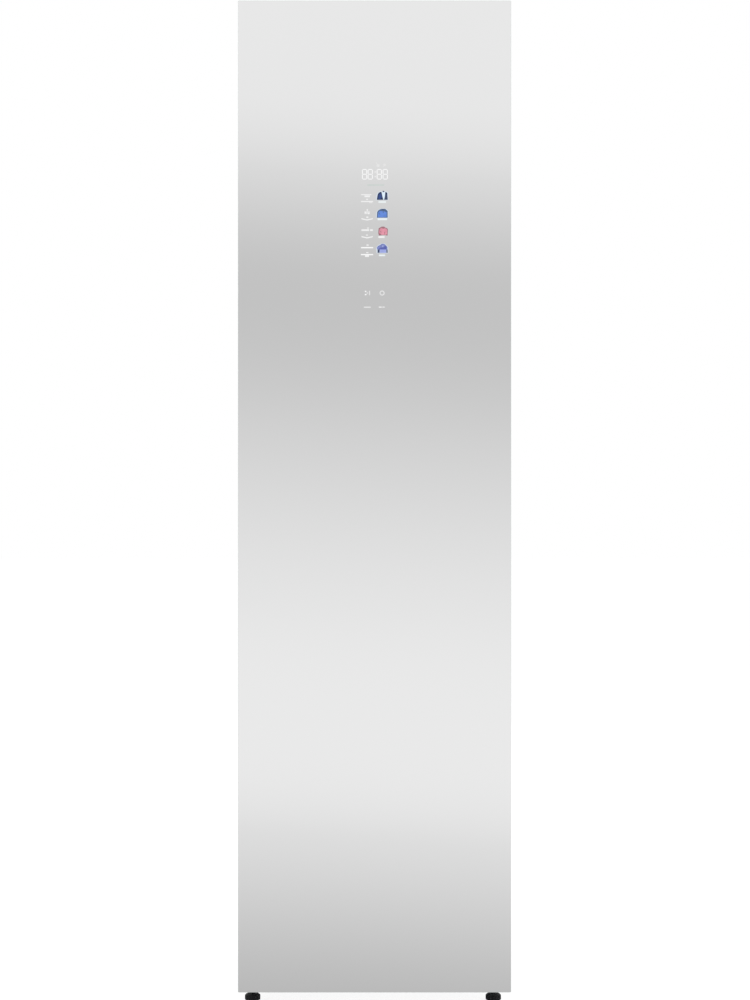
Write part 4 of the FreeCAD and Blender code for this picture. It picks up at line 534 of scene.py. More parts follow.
def end_tree(t, given, shape):
    """Every tree ends in real faces with their material."""
    real = t.add("GeometryNodeRealizeInstances", {0: shape})
    painted = t.add("GeometryNodeSetMaterial", {"Geometry": real, "Material": given["Material"]})
    t.add("NodeGroupOutput", {0: painted})
    return t.tree


def repeated(t, points, shape, **turned):
    inputs = {"Points": points, "Instance": shape, **turned}
    return t.add("GeometryNodeInstanceOnPoints", inputs)


def swept(t, given, path, capped=False):
    """The seed outline along an upright path."""
    upright = t.add("GeometryNodeSetCurveNormal", {"Curve": path}, mode="Z_UP")
    outline = t.add("GeometryNodeMeshToCurve", {"Mesh": given["Shape"]})
    inputs = {"Curve": upright, "Profile Curve": outline, "Fill Caps": capped}
    return t.add("GeometryNodeCurveToMesh", inputs)


def line(t, count, step, start=(0.0, 0.0, 0.0)):
    inputs = {"Count": count, "Offset": step, "Start Location": start}
    return t.add("GeometryNodeMeshLine", inputs, mode="OFFSET", count_mode="TOTAL").outputs[0]


def rows_tree():
    """The seed shape repeated in rows of rows of rows."""
    t, given = geometry_tree(
        "rows", Count=1, Step=(0.01, 0.0, 0.0), Row_count=1, Row_step=(0.0, 0.0, 0.01),
        Layer_count=1, Layer_step=(0.0, 0.01, 0.0),
    )
    shape = given["Shape"]
    for count, step in (("Count", "Step"), ("Row count", "Row step"), ("Layer count", "Layer step")):
        shape = repeated(t, line(t, given[count], given[step]), shape)
    return end_tree(t, given, shape)


def ring_tree():
    """The seed shape repeated in a ring about Z, each turned to face out."""
    t, given = geometry_tree("ring", Count=12, Radius=0.01)
    circle = t.add("GeometryNodeMeshCircle", {"Vertices": given["Count"], "Radius": given["Radius"]})
    share = t.maths("DIVIDE", t.add("GeometryNodeInputIndex"), given["Count"])
    angle = t.times(share, 2 * math.pi)
    turn = t.add("FunctionNodeEulerToRotation", {0: t.add("ShaderNodeCombineXYZ", {"Z": angle})})
    return end_tree(t, given, repeated(t, circle, given["Shape"], Rotation=turn))


def frame_seal_tree():
    """The seed outline swept round a rounded rectangle."""
    t, given = geometry_tree("seal", Width=0.4, Height=1.0, Corner=0.01)
    size = {"Width": given["Width"], "Height": given["Height"]}
    sides = t.add("GeometryNodeCurvePrimitiveQuadrilateral", size)
    corners = {"Curve": sides, "Count": 8, "Radius": given["Corner"]}
    path = t.add("GeometryNodeFilletCurve", corners, mode="POLY")
    return end_tree(t, given, swept(t, given, path))


def thread_tree():
    """The seed outline swept up a helix about Z."""
    t, given = geometry_tree("thread", Turns=10.0, Radius=0.005, Height=0.02)
    radii = {"Start Radius": given["Radius"], "End Radius": given["Radius"]}
    spiral = {"Resolution": 20, "Rotations": given["Turns"], "Height": given["Height"], **radii}
    helix = t.add("GeometryNodeCurveSpiral", spiral)
    return end_tree(t, given, swept(t, given, helix, capped=True))


def grip_rib_tree():
    """Small round ribs on top of the seed shape, where a line of rays from above meets it."""
    t, given = geometry_tree(
        "grip ribs", Count=10, Start=(0.0, 0.0, 0.0), Step=(0.0, 0.01, 0.0), Radius=0.0006, Length=0.01
    )
    row = line(t, given["Count"], given["Step"], given["Start"])
    down = {"Target Geometry": given["Shape"], "Ray Direction": (0.0, 0.0, -1.0), "Ray Length": 0.3}
    ray = t.add("GeometryNodeRaycast", down).outputs
    landing = {"Geometry": row, "Selection": ray["Is Hit"], "Position": ray["Hit Position"]}
    landed = t.add("GeometryNodeSetPosition", landing)
    size = {"Vertices": 10, "Radius": given["Radius"], "Depth": given["Length"]}
    round_rib = t.add("GeometryNodeMeshCylinder", size)
    across = t.add("FunctionNodeEulerToRotation", {0: (0.0, math.pi / 2, 0.0)})
    return end_tree(t, given, repeated(t, landed, round_rib, Rotation=across))


ROWS, RING, SEAL = rows_tree(), ring_tree(), frame_seal_tree()
THREAD, GRIP_RIBS = thread_tree(), grip_rib_tree()


def grown(name, tree, seed, body, slot, place=Matrix(), replaces=(), smooth_below=40, **sizes):
    """Grows a tree on the seed mesh and keeps the result as a plain mesh on its body."""
    maker = linked("maker", seed)
    modifier = maker.modifiers.new("grow", "NODES")
    modifier.node_group = tree
    sizes = {label.replace("_", " "): value for label, value in sizes.items()}
    sizes["Material"] = FINISHES[slot]
    for socket in tree.interface.items_tree:
        if socket.in_out == "INPUT" and socket.name in sizes:
            modifier[socket.identifier] = sizes.pop(socket.name)
    assert not sizes, sizes
    evaluated = maker.evaluated_get(bpy.context.evaluated_depsgraph_get())
    mesh = bpy.data.meshes.new_from_object(evaluated)
    bpy.data.objects.remove(maker)
    mesh.transform(place)
    if smooth_below:
        smooth(mesh, smooth_below)
    return piece(name, mesh, body, [], replaces)


def islands(node):
    """The box of each loose solid of a CAD node, as (low, high) pairs."""
    bm = bmesh.new()
    bm.from_mesh(frame["nodes"][node].data)
    bmesh.ops.remove_doubles(bm, verts=bm.verts, dist=1e-6)
    left, boxes = set(bm.verts), []
    while left:
        front = [left.pop()]
        points = []
        while front:
            vert = front.pop()
            points.append(vert.co.copy())
            for edge in vert.link_edges:
                other = edge.other_vert(vert)
                if other in left:
                    left.remove(other)
                    front.append(other)
        boxes.append((Vector(map(min, zip(*points))), Vector(map(max, zip(*points)))))
    bm.free()
    return sorted(boxes, key=lambda box: tuple(round(c, 5) for c in box[0]))


# ------------ mirror door
def mirror_finish():
    """Silvered front, with the faintest wipes in its gloss."""
    material, t, shader = new_shader("silvered_mirror", METAL)
    wiped = {"Size": 0.12, "Depth": 0.0, "Normal": t.facing()}
    mask = t.add("ShaderNodeGroup", wiped, node_tree=SKINS["smear"]).outputs["Mask"]
    silver = t.mixed(mask, grey(0.897), grey(0.903))
    t.feed(shader, {"Base Color": silver, "Roughness": t.span(mask, 0.0, 0.02, 0.35, 0.7)})
    return material


def glass_edge_finish():
    """The polished green-grey edge of float glass."""
    material, t, shader = new_shader("polished_glass_edge", {"Coat Weight": 0.5})
    streaks = t.noise(t.stretched(t.place(), (0.1, 1.0, 0.1)), 700.0, 3.0)
    tone = t.mixed(streaks, (0.50, 0.60, 0.57, 1.0), (0.62, 0.71, 0.68, 1.0))
    t.feed(shader, {"Base Color": tone, "Roughness": t.span(streaks, 0.05, 0.16)})
    return material


PANE_BEVEL = 0.3 * MM
PANE_CORNER = 2 * MM
GRAPHICS_ROOM = 0.3 * MM
SILVERED = mirror_finish()
GLASS_EDGE = glass_edge_finish()
PANE_BACK = finish(
    "mirror_backing", "paint", 2.0, 0.01, (0.45, 0.6), spread=0.08, colour=(0.30, 0.32, 0.34)
)


def mirror_pane():
    """One sheet of mirror glass with ground corners and polished, chamfered edges."""
    low, high, centre = box_and_centre("door_glass")
    width, height = high.x - low.x, high.z - low.z
    front, bevel = low.y + GRAPHICS_ROOM, PANE_BEVEL
    rings = []
    for y, inset in ((high.y, bevel), (high.y - bevel, 0.0), (front + bevel, 0.0), (front, bevel)):
        outline = ring_outline(width - 2 * inset, height - 2 * inset, PANE_CORNER - inset)
        rings.append([(centre.x + x, y, centre.z + z) for x, z in outline])
    mesh = mesh_from(lofted(rings, caps=(2, 0), side=1))
    piece("mirror_pane", mesh, "door", [SILVERED, GLASS_EDGE, PANE_BACK], ["door_glass"])
    return front


GLASS_FRONT = mirror_pane()
LAYER = 0.07 * MM


# ------------ lit display behind the glass
BACKLIT = {"Base Color": grey(0.02), "Roughness": 0.6, "Specular IOR Level": 0.0, "Emission Strength": 1.0}


def lit(name, *levels, spread=0.05):
    """Light of these screen levels through the glass, a little uneven as behind a diffuser."""
    colour = [((level / 255 + 0.055) / 1.055) ** 2.4 for level in levels]
    material, t, shader = new_shader("lit_" + name, BACKLIT)
    patches = t.noise(t.place(), 160.0, 2.0)
    glow = t.mixed(patches, shade(colour, 1 - spread), shade(colour, 1 + spread))
    t.put(shader.inputs["Emission Color"], glow)
    return material


LIT = (
    lit("white", 249, 249, 249),
    lit("soft", 238, 238, 238),
    lit("dim", 226, 226, 226),
    lit("line", 202, 209, 206),
    lit("halo", 212, 222, 233),
    lit("caption", 232, 239, 240),
    lit("navy", 28, 43, 82, spread=0.2),
    lit("denim", 52, 74, 130, spread=0.3),
    lit("slate", 62, 74, 104, spread=0.15),
    lit("ice", 222, 239, 255),
    lit("ink", 78, 101, 138, spread=0.15),
    lit("sky", 96, 134, 212, spread=0.3),
    lit("rose", 222, 146, 163, spread=0.2),
    lit("wine", 160, 112, 122, spread=0.15),
    lit("violet", 90, 99, 174, spread=0.2),
    lit("periwinkle", 122, 132, 190, spread=0.2),
    lit("lilac", 156, 167, 224, spread=0.12),
)
LIGHTS = {material.name.removeprefix("lit_"): material for material in LIT}


def printed(name, shapes, centre=(0.0, 0.0)):
    """Thin lit shapes on the glass. shapes are (light, layer, outline in millimetres from centre)."""
    bm = bmesh.new()
    kinds = sorted({light for light, _, _ in shapes})
    for light, layer, outline in shapes:
        area = sum(a[0] * b[1] - b[0] * a[1] for a, b in zip(outline, outline[1:] + outline[:1]))
        outline = outline if area > 0 else outline[::-1]
        index = kinds.index(light)
        back, front = (
            [bm.verts.new(((centre[0] + x) * MM, y, (centre[1] + z) * MM)) for x, z in outline]
            for y in (GLASS_FRONT - layer * LAYER, GLASS_FRONT - (layer + 1) * LAYER)
        )
        bm.faces.new(front).material_index = bm.faces.new(back[::-1]).material_index = index
        band(bm, back, front, index)
    return piece(name, mesh_from(bm, merged=False), "door", [LIGHTS[kind] for kind in kinds])


def bar(x, z, width, height):
    """A flat lit bar about (x, z)."""
    corners = ((-0.5, -0.5), (0.5, -0.5), (0.5, 0.5), (-0.5, 0.5))
    return [(x + a * width, z + b * height) for a, b in corners]


def stroke(a, b, width):
    """A straight lit line from a to b."""
    along = Vector((b[0] - a[0], b[1] - a[1])).normalized() * width / 2
    ends = ((a, 1), (b, 1), (b, -1), (a, -1))
    return [(x - side * along.y, z + side * along.x) for (x, z), side in ends]


def ring_sector(centre, radius, width, start, end, steps=24):
    """Part of a ring between two angles in degrees."""
    outline = []
    for reach, order in ((radius + width / 2, 1), (radius - width / 2, -1)):
        angles = [math.radians(start + (end - start) * k / steps) for k in range(steps + 1)][::order]
        outline += [(centre[0] + reach * math.cos(a), centre[1] + reach * math.sin(a)) for a in angles]
    return outline


DIGIT_WIDTH, DIGIT_HEIGHT, SEGMENT, SEGMENT_GAP = 9.4, 19.2, 1.55, 0.35


def pointed(middle, reach, across, upright):
    """A bar with pointed ends, lying or upright, from its middle, its half length and its half width."""
    blunt = reach - across
    half = [(reach, 0.0), (blunt, across), (-blunt, across)]
    outline = half + [(-a, -b) for a, b in half]
    if upright:
        outline = [(b, a) for a, b in outline]
    return [(middle[0] + a, middle[1] + b) for a, b in outline]


def digit_segments(x, z):
    """All seven segments of one lit figure."""
    tip = SEGMENT / 2
    half, rise = DIGIT_WIDTH / 2 - tip, DIGIT_HEIGHT / 2 - tip
    lying = [pointed((x, z + level), half - SEGMENT_GAP, tip, False) for level in (-rise, 0.0, rise)]
    return lying + [
        pointed((x + side, z + level), rise / 2 - SEGMENT_GAP, tip, True)
        for side in (-half, half)
        for level in (-rise / 2, rise / 2)
    ]


CLOCK_Z = 1531.8
digits = [shape for x in (-18.3, -7.9, 8.6, 19.5) for shape in digit_segments(x, CLOCK_Z)]
colon = [bar(1.2, CLOCK_Z + side * 4.2, 2.6, 2.0) for side in (-1, 1)]
printed("clock_digits", [("white", 0, shape) for shape in digits] + [("soft", 0, shape) for shape in colon])
printed(
    "status_marks",
    [
        ("dim", 0, ring_sector((6.4, 1547.8), 1.5, 2.9, 0, 360)),
        ("dim", 0, stroke((3.2, 1554.0), (4.6, 1550.2), 1.2)),
        ("dim", 0, ring_sector((18.2, 1549.0), 1.3, 2.5, 0, 360)),
        ("dim", 0, stroke((15.6, 1545.4), (17.0, 1547.6), 1.1)),
        ("line", 0, bar(2.1, 1512.0, 31.0, 3.0)),
    ],
)

# Short lit bars stand where a panel's captions would be.
CAPTIONS = {
    "garment_care_captions": [
        ("soft", -15.3, 1494.4, 18.9, 1.7), ("soft", -13.5, 1491.4, 9.9, 3.0),
        ("soft", -13.7, 1485.9, 3.6, 2.0), ("soft", -13.8, 1481.9, 22.0, 2.1),
        ("dim", -7.1, 1479.8, 5.5, 1.6),
    ],
    "airing_captions": [
        ("soft", -13.3, 1466.4, 2.4, 3.4), ("dim", -13.6, 1461.6, 10.0, 5.0),
        ("white", -16.5, 1461.3, 2.4, 2.4), ("white", -10.6, 1459.9, 2.4, 2.4),
        ("soft", -13.3, 1453.1, 3.8, 2.6),
    ],
    "drying_captions": [
        ("dim", -12.1, 1433.2, 3.6, 3.0), ("soft", -17.1, 1429.5, 14.0, 3.2),
        ("soft", -5.8, 1429.5, 5.2, 3.2), ("dim", -13.9, 1420.3, 3.6, 3.0),
    ],
    "pressing_captions": [
        ("dim", -12.8, 1402.0, 4.0, 3.4), ("white", -13.7, 1397.4, 22.2, 2.2),
        ("soft", -13.3, 1388.3, 4.0, 1.8), ("white", -13.8, 1384.7, 22.4, 2.1),
        ("soft", -13.8, 1382.0, 7.2, 3.2),
    ],
    "wardrobe_captions": [
        ("caption", 14.0, 1481.1, 13.7, 3.2), ("caption", 14.2, 1449.5, 17.4, 3.4),
        ("soft", 12.7, 1416.9, 11.4, 3.4), ("caption", 13.6, 1383.4, 11.6, 3.0),
    ],
}


def chevron(x, z, reach=10.4, drop=2.4, width=2.2):
    """A shallow lit V about (x, z)."""
    under = [(x - reach, z + drop / 2), (x, z - drop / 2), (x + reach, z + drop / 2)]
    return under + [(a, b + width) for a, b in reversed(under)]


CHEVRONS = {"airing_captions": (-13.7, 1448.2), "drying_captions": (-13.6, 1415.4)}
for name, bars in CAPTIONS.items():
    shapes = [(light, 0, bar(*sizes)) for light, *sizes in bars]
    if name in CHEVRONS:
        shapes.append(("soft", 0, chevron(*CHEVRONS[name])))
    printed(name, shapes)

GARMENT_X = 14.6
# Each picture: its centre, then its lights, layers and outlines.
PICTURES = {
    "jacket_picture": ((GARMENT_X, 1492.9), [
        ("halo", 0, [
            (-5.4, 7.8), (-9.2, 5.0), (-11.4, 0.0), (-12.2, -8.6), (10.6, -8.6), (10.8, 5.4),
            (7.2, 7.8),
        ]),
        ("navy", 1, [
            (-2.0, 6.6), (-4.4, 6.4), (-7.4, 4.6), (-9.2, 0.6), (-10.4, -7.9), (1.6, -7.9),
            (0.0, -2.6),
        ]),
        ("slate", 1, [(5.0, 5.8), (6.2, 6.6), (8.6, 4.6), (9.5, -7.9), (2.6, -7.9), (4.2, -2.4)]),
        ("denim", 2, [
            (-3.0, 3.6), (-6.0, 3.6), (-7.6, -1.2), (-8.2, -6.2), (-4.4, -6.8), (-1.2, -4.0),
            (-1.8, 0.4),
        ]),
        ("navy", 2, [(5.0, 5.8), (6.2, 6.6), (8.6, 4.6), (8.8, 2.2), (5.2, 2.4)]),
        ("ice", 2, [(-1.6, 6.0), (4.8, 6.0), (4.2, -2.4), (2.8, -7.4), (1.4, -7.6), (0.0, -2.6)]),
        ("slate", 3, [(0.6, 8.6), (2.8, 8.6), (3.6, 6.8), (2.0, 5.9), (-0.2, 6.8)]),
    ]),
    "shirt_picture": ((GARMENT_X, 1459.9), [
        ("halo", 0, [
            (-3.2, 9.2), (-8.6, 6.6), (-11.6, 2.2), (-12.0, -8.4), (10.6, -8.4), (10.6, 5.4),
            (6.6, 8.8),
        ]),
        ("ink", 1, [
            (-2.6, 8.6), (-7.2, 6.4), (-9.8, 2.8), (-10.6, -7.7), (9.4, -7.7), (9.4, 4.6), (5.0, 8.6),
        ]),
        ("sky", 2, [
            (-0.6, 4.4), (-5.2, 4.8), (-7.8, 2.0), (-8.6, -6.9), (7.6, -6.9), (7.6, 2.4), (3.4, 4.0),
        ]),
        ("ink", 3, stroke((1.0, 5.0), (1.4, 0.8), 1.2)),
        ("ink", 3, stroke((-6.4, 0.4), (-4.6, -1.6), 1.2)),
        ("slate", 3, [(-1.8, 8.4), (1.4, 5.8), (4.4, 8.4), (1.2, 7.2)]),
    ]),
    "jumper_picture": ((GARMENT_X + 0.4, 1427.0), [
        ("wine", 1, [
            (-1.8, 9.0), (-4.8, 7.4), (-7.6, 5.6), (-8.2, -3.0), (-7.2, -7.4), (-1.0, -6.6),
            (3.6, -6.6), (8.8, -7.4), (9.4, 3.8), (8.2, 5.8), (4.4, 7.4), (3.0, 9.0),
        ]),
        ("rose", 2, [
            (-1.4, 6.6), (-4.4, 5.6), (-6.0, 3.6), (-6.4, -3.4), (-1.2, -6.2), (5.6, -6.2),
            (7.8, -4.4), (7.8, 4.2), (4.6, 6.2), (2.6, 5.6),
        ]),
        ("wine", 3, ring_sector((0.8, 7.8), 2.2, 1.1, 190, 350, 10)),
        ("wine", 3, stroke((-4.4, 0.6), (-3.0, -1.8), 1.2)),
        ("wine", 3, stroke((3.4, -0.6), (3.6, -5.6), 1.0)),
        ("wine", 3, stroke((-5.4, -3.4), (-4.4, -7.2), 1.6)),
        ("wine", 3, stroke((7.4, -5.0), (7.6, -7.4), 1.4)),
    ]),
    "coat_picture": ((GARMENT_X, 1395.9), [
        ("halo", 0, [
            (-2.0, 9.2), (-8.4, 6.0), (-12.0, 0.6), (-10.8, -8.8), (10.4, -8.8), (10.6, 2.4),
            (6.6, 6.8), (3.8, 9.2),
        ]),
        ("periwinkle", 1, [
            (-1.6, 8.6), (-4.4, 6.4), (-8.6, 4.6), (-10.8, 0.8), (-9.2, -2.4), (9.0, -2.4), (9.0, 2.6),
            (6.6, 5.6), (3.0, 8.6),
        ]),
        ("slate", 1, [(-9.0, -1.8), (-9.2, -8.0), (-5.6, -8.0), (-5.2, -1.8)]),
        ("slate", 1, [(7.0, -1.8), (7.2, -8.0), (9.4, -8.0), (9.2, -1.8)]),
        ("lilac", 2, [(-5.4, -1.8), (-5.0, -8.0), (6.8, -8.0), (6.8, -1.8)]),
        ("violet", 2, [
            (-4.8, 1.6), (-7.6, -1.0), (-4.4, -1.8), (7.2, -1.8), (6.8, 4.0), (4.6, 4.6), (1.4, 2.0),
        ]),
        ("lilac", 3, [(-1.0, 5.2), (0.4, 6.2), (2.0, 5.2), (1.0, 2.4), (-0.6, 2.6)]),
    ]),
}
for name, (centre, shapes) in PICTURES.items():
    printed(name, shapes, centre)

KEYS_Z = 1314.4
printed(
    "touch_keys",
    [("white", 0, bar(-16.6, KEYS_Z + side * 2.9, 2.4, 2.4)) for side in (-1, 1)]
    + [
        ("dim", 0, stroke((-16.4, KEYS_Z + 4.0), (-12.4, KEYS_Z), 1.0)),
        ("dim", 0, stroke((-16.4, KEYS_Z - 4.0), (-12.4, KEYS_Z), 1.0)),
        ("dim", 0, bar(-9.2, KEYS_Z, 1.9, 8.2)),
        ("dim", 0, ring_sector((13.8, KEYS_Z), 3.7, 1.9, 0, 360, 36)),
        ("dim", 0, bar(-13.3, 1288.4, 12.6, 2.2)),
        ("soft", 0, bar(10.4, 1288.6, 5.2, 2.2)),
        ("dim", 0, bar(16.4, 1288.6, 4.6, 2.2)),
    ],
)


# ------------ seals, screws and other repeated trim
def outline_mesh(points):
    """A closed outline in the XY plane as a mesh of edges, to be swept."""
    mesh = bpy.data.meshes.new("outline")
    count = len(points)
    mesh.from_pydata([(x, y, 0.0) for x, y in points], [(k, (k + 1) % count) for k in range(count)], [])
    return mesh


def bellows_seal():
    """The door's soft seal: two round lips with a deep fold between them."""
    low, high, centre = box_and_centre("door_gasket")
    depth, wide = high.y - low.y, 16.0 * MM
    # half of the seal's outline, as shares of its half width and of its depth
    lip = ((-1, 0), (-1, 0.55), (-0.86, 0.86), (-0.6, 1), (-0.36, 0.94), (-0.2, 0.72), (-0.12, 0.42))
    face = [(a * wide / 2, b * depth) for a, b in lip]
    points = face + [(-x, y) for x, y in reversed(face)]
    # the sweep's own plane turned upright, so that the lips face the cabinet
    place = placed(centre.x, low.y, centre.z, -math.pi / 2)
    grown(
        "bellows_seal", SEAL, outline_mesh(points), "door", "gasket", place, ["door_gasket"], 60,
        Width=high.x - low.x - wide, Height=high.z - low.z - wide, Corner=6 * MM,
    )


SCREW_HEAD = 2.2 * MM
ROUND_SCREW = 24


def cross_head_screw(radius, shank, length):
    """A pan head with a cross recess over a shank, standing on the XY plane, head up.

    length is that of the whole screw.
    """
    bm = bmesh.new()
    height = SCREW_HEAD
    turns = [2 * math.pi * k / ROUND_SCREW for k in range(ROUND_SCREW)]
    profile = ((shank, height - length), (shank, 0.0), (radius, 0.0), (radius, height * 0.35))
    profile += ((radius * 0.93, height * 0.75), (radius * 0.72, height))
    rings = [[bm.verts.new((r * math.cos(a), r * math.sin(a), z)) for a in turns] for r, z in profile]
    for low, high in zip(rings, rings[1:]):
        band(bm, low, high)
    bm.faces.new(rings[0][::-1])
    long, wide = radius * 0.52, radius * 0.12
    cross = [(long, -wide), (long, wide), (wide, wide), (wide, long), (-wide, long), (-wide, wide)]
    cross += [(-x, -z) for x, z in cross]
    brim, floor = (
        [bm.verts.new((x * share, y * share, z)) for x, y in cross]
        for share, z in ((1.0, height), (0.8, height * 0.3))
    )
    band(bm, floor, brim)
    bm.faces.new(floor)
    edges = [bm.edges.get((loop[k - 1], loop[k])) for loop in (rings[-1], brim) for k in range(len(loop))]
    bmesh.ops.triangle_fill(bm, edges=edges, use_beauty=True)
    return mesh_from(bm, 50)


def case_screws():
    """Cross-head screws down both sides of the back."""
    boxes = islands("case_screws")
    low, high = boxes[0]
    lefts = [box for box in boxes if abs(box[0].x - low.x) < 1 * MM]
    step_z = (lefts[-1][0].z - low.z) / (len(lefts) - 1)
    radius = (high.x - low.x) / 2
    seed = cross_head_screw(radius, shank=2.0 * MM, length=high.y - low.y)
    seed.transform(placed(low.x + radius, high.y - SCREW_HEAD, low.z + radius, -math.pi / 2))
    grown(
        "case_screw_row", ROWS, seed, "cabinet", "screw", replaces=["case_screws"],
        Count=len(lefts), Step=(0.0, 0.0, step_z), Row_count=2, Row_step=(boxes[-1][0].x - low.x, 0.0, 0.0),
    )


def hinge_screws():
    """Two cross-head screws over and two under the hinges."""
    boxes, half_way_up = islands("hinge_screws"), cad_high[2] / 2
    for name, at_top in (("top_hinge_screws", True), ("bottom_hinge_screws", False)):
        (low, high), (next_low, _) = [box for box in boxes if (box[0].z > half_way_up) == at_top]
        centre = (low + high) / 2
        seed = cross_head_screw((high.x - low.x) / 2, shank=2.4 * MM, length=high.z - low.z)
        if at_top:
            place = placed(centre.x, centre.y, high.z - SCREW_HEAD)
        else:
            place = placed(centre.x, centre.y, low.z + SCREW_HEAD, math.pi)
        seed.transform(place)
        step = tuple(next_low - low)
        grown(name, ROWS, seed, "cabinet", "screw", replaces=["hinge_screws"], Count=2, Step=step)


def foot_threads():
    """The fine thread that shows between each front foot's disc and the base."""
    pitch, radius = 1.5 * MM, 5.0 * MM
    disc_top, under_base = 14.2 * MM, 0.8 * MM
    ridge = [(-0.1 * MM, -0.55 * MM), (0.45 * MM, 0.0), (-0.1 * MM, 0.55 * MM)]
    for side in ("left", "right"):
        low, _, centre = box_and_centre("foot_front_" + side)
        bottom, top = low.z + disc_top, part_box("base_pan")[0].z - under_base
        grown(
            "foot_thread_" + side, THREAD, outline_mesh(ridge), "foot_" + side, "foot",
            placed(centre.x, centre.y, bottom),
            Turns=(top - bottom) / pitch, Radius=radius, Height=top - bottom,
        )


def louvre_hoods():
    """Pressed hoods over the rear panel's slots, in two banks of nine rows."""
    end, rise, proud, metal = 63.5 * MM, 7.0 * MM, 3.4 * MM, 0.8 * MM
    slope, shut, sunk, steps = 5 * MM, 0.4 * MM, 0.7 * MM, 6
    first_x, first_z, row_pitch, bank_pitch = -93 * MM, 190 * MM, 16 * MM, 180 * MM
    angles = [math.pi / 2 * k / steps for k in range(steps + 1)]
    rings = []
    for x, reach in ((-end, shut), (slope - end, proud), (end - slope, proud), (end, shut)):
        ring = [(x, reach * math.sin(a), rise * math.cos(a)) for a in angles]
        ring += [(x, max(0.0, y - metal), max(0.0, z - metal)) for _, y, z in reversed(ring)]
        rings.append(ring)
    seed = mesh_from(lofted(rings), 50)
    seed.transform(placed(first_x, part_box("rear_panel")[0].y + sunk, first_z))
    grown(
        "louvre_hoods", ROWS, seed, "cabinet", "galvanised", smooth_below=50,
        Count=9, Step=(0.0, 0.0, row_pitch), Row_count=2, Row_step=(bank_pitch, 0.0, 0.0),
    )


def door_flutes():
    """Upright moulded flutes in the door's inner face, as on the chamber's back wall."""
    count, pitch, width, length, proud = 5, 60 * MM, 13 * MM, 1110 * MM, 3.2 * MM
    recess_depth = 2.5 * MM
    recess_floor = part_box("door_inner_panel")[0].y + recess_depth
    middle_x, middle_z = -3 * MM, 1045 * MM
    # the flute's side, as insets from its foot and heights over the recess
    side = ((0.0, -0.6 * MM), (0.4 * MM, 1.4 * MM), (1.8 * MM, 2.7 * MM), (4.0 * MM, proud))
    rings = []
    for inset, height in side:
        outline = ring_outline(width - 2 * inset, length - 2 * inset, width / 2 - inset - 0.01 * MM, 8)
        rings.append([(middle_x + x, recess_floor + height, middle_z + z) for x, z in outline])
    seed = mesh_from(lofted(rings), 50)
    seed.transform(placed(-(count - 1) / 2 * pitch, 0.0, 0.0))
    grown("door_flutes", ROWS, seed, "door", "liner", Count=count, Step=(pitch, 0.0, 0.0))


def tank_trim():
    """Level marks on both tanks, and gripping ribs round their caps."""
    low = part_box("supply_tank")[0]
    between_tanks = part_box("drain_tank")[0].x - low.x
    from_side, level_step, first_level, tall, proud = 14 * MM, 30 * MM, 84 * MM, 1.4 * MM, 0.2 * MM
    marks = (
        ("long_level_marks", 16 * MM, first_level, 5),
        ("short_level_marks", 9 * MM, first_level + level_step / 2, 4),
    )
    for name, length, start, count in marks:
        seed = rounded_bar((length, 0.8 * MM, tall), tall / 4)
        seed.transform(placed(low.x + from_side + length / 2, low.y - proud, start))
        grown(
            name, ROWS, seed, "cabinet", "lid",
            Count=count, Step=(0.0, 0.0, level_step), Row_count=2, Row_step=(between_tanks, 0.0, 0.0),
        )
    cap_radius, ribs, under_top = 21.9 * MM, 40, 3.0 * MM
    for name, (cap_low, cap_high) in zip(("supply_cap_ribs", "drain_cap_ribs"), islands("tank_lids")):
        seed = rounded_bar((1.6 * MM, 1.4 * MM, 4.6 * MM), 0.5 * MM)
        centre = (cap_low + cap_high) / 2
        place = placed(centre.x, centre.y, cap_high.z - under_top)
        grown(name, RING, seed, "cabinet", "lid", place, Count=ribs, Radius=cap_radius)


def filter_cloth():
    """The woven mesh in the filter's six windows: warp and weft threads."""
    low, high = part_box("lint_filter")
    left, bottom = low.x + 10 * MM, low.z + 5 * MM
    window, tall, rim, from_face = 60 * MM, 70 * MM, 5 * MM, 6.6 * MM
    front, back = low.y + from_face, high.y - from_face
    pitch, thick, over = 2.0 * MM, 0.32 * MM, 0.24 * MM
    warp = (thick, thick, tall), (left + pitch / 2, front, bottom + tall / 2), (pitch, 0.0, 0.0)
    weft = (window, thick, thick), (left + window / 2, front + over, bottom + pitch / 2), (0.0, 0.0, pitch)
    for name, (size, start, step), room in (("filter_warp", warp, window), ("filter_weft", weft, tall)):
        seed = rounded_bar(size, thick * 0.28, 1)
        seed.transform(placed(*start))
        grown(
            name, ROWS, seed, "filter", "filter", smooth_below=None,
            Count=round(room / pitch), Step=step, Row_count=3, Row_step=(window + rim, 0.0, 0.0),
            Layer_count=2, Layer_step=(0.0, back - front, 0.0),
        )


def shoulder_ribs():
    """Small ribs along each hanger's shoulders, so that cloth doesn't slip."""
    from_hook, pitch, count, radius, length = 92 * MM, 4.2 * MM, 16, 1.1 * MM, 11.0 * MM
    for node in ("hanger_left", "hanger_middle", "hanger_right"):
        _, high, centre = box_and_centre(node)
        for name, sign in (("front", -1), ("back", 1)):
            grown(
                "shoulder_ribs_%s_%s" % (node.removeprefix("hanger_"), name), GRIP_RIBS,
                frame["nodes"][node].data.copy(), node, "hanger",
                Count=count, Start=(centre.x, centre.y + sign * from_hook, high.z),
                Step=(0.0, sign * pitch, 0.0), Radius=radius, Length=length,
            )


bellows_seal()
case_screws()
hinge_screws()
foot_threads()
louvre_hoods()
door_flutes()
tank_trim()
filter_cloth()
shoulder_ribs()


# ------------ felt pads
FOLD_ANGLE, LONGEST_EDGE, UNEVEN_MM = 0.5, 50 * MM, 0.5


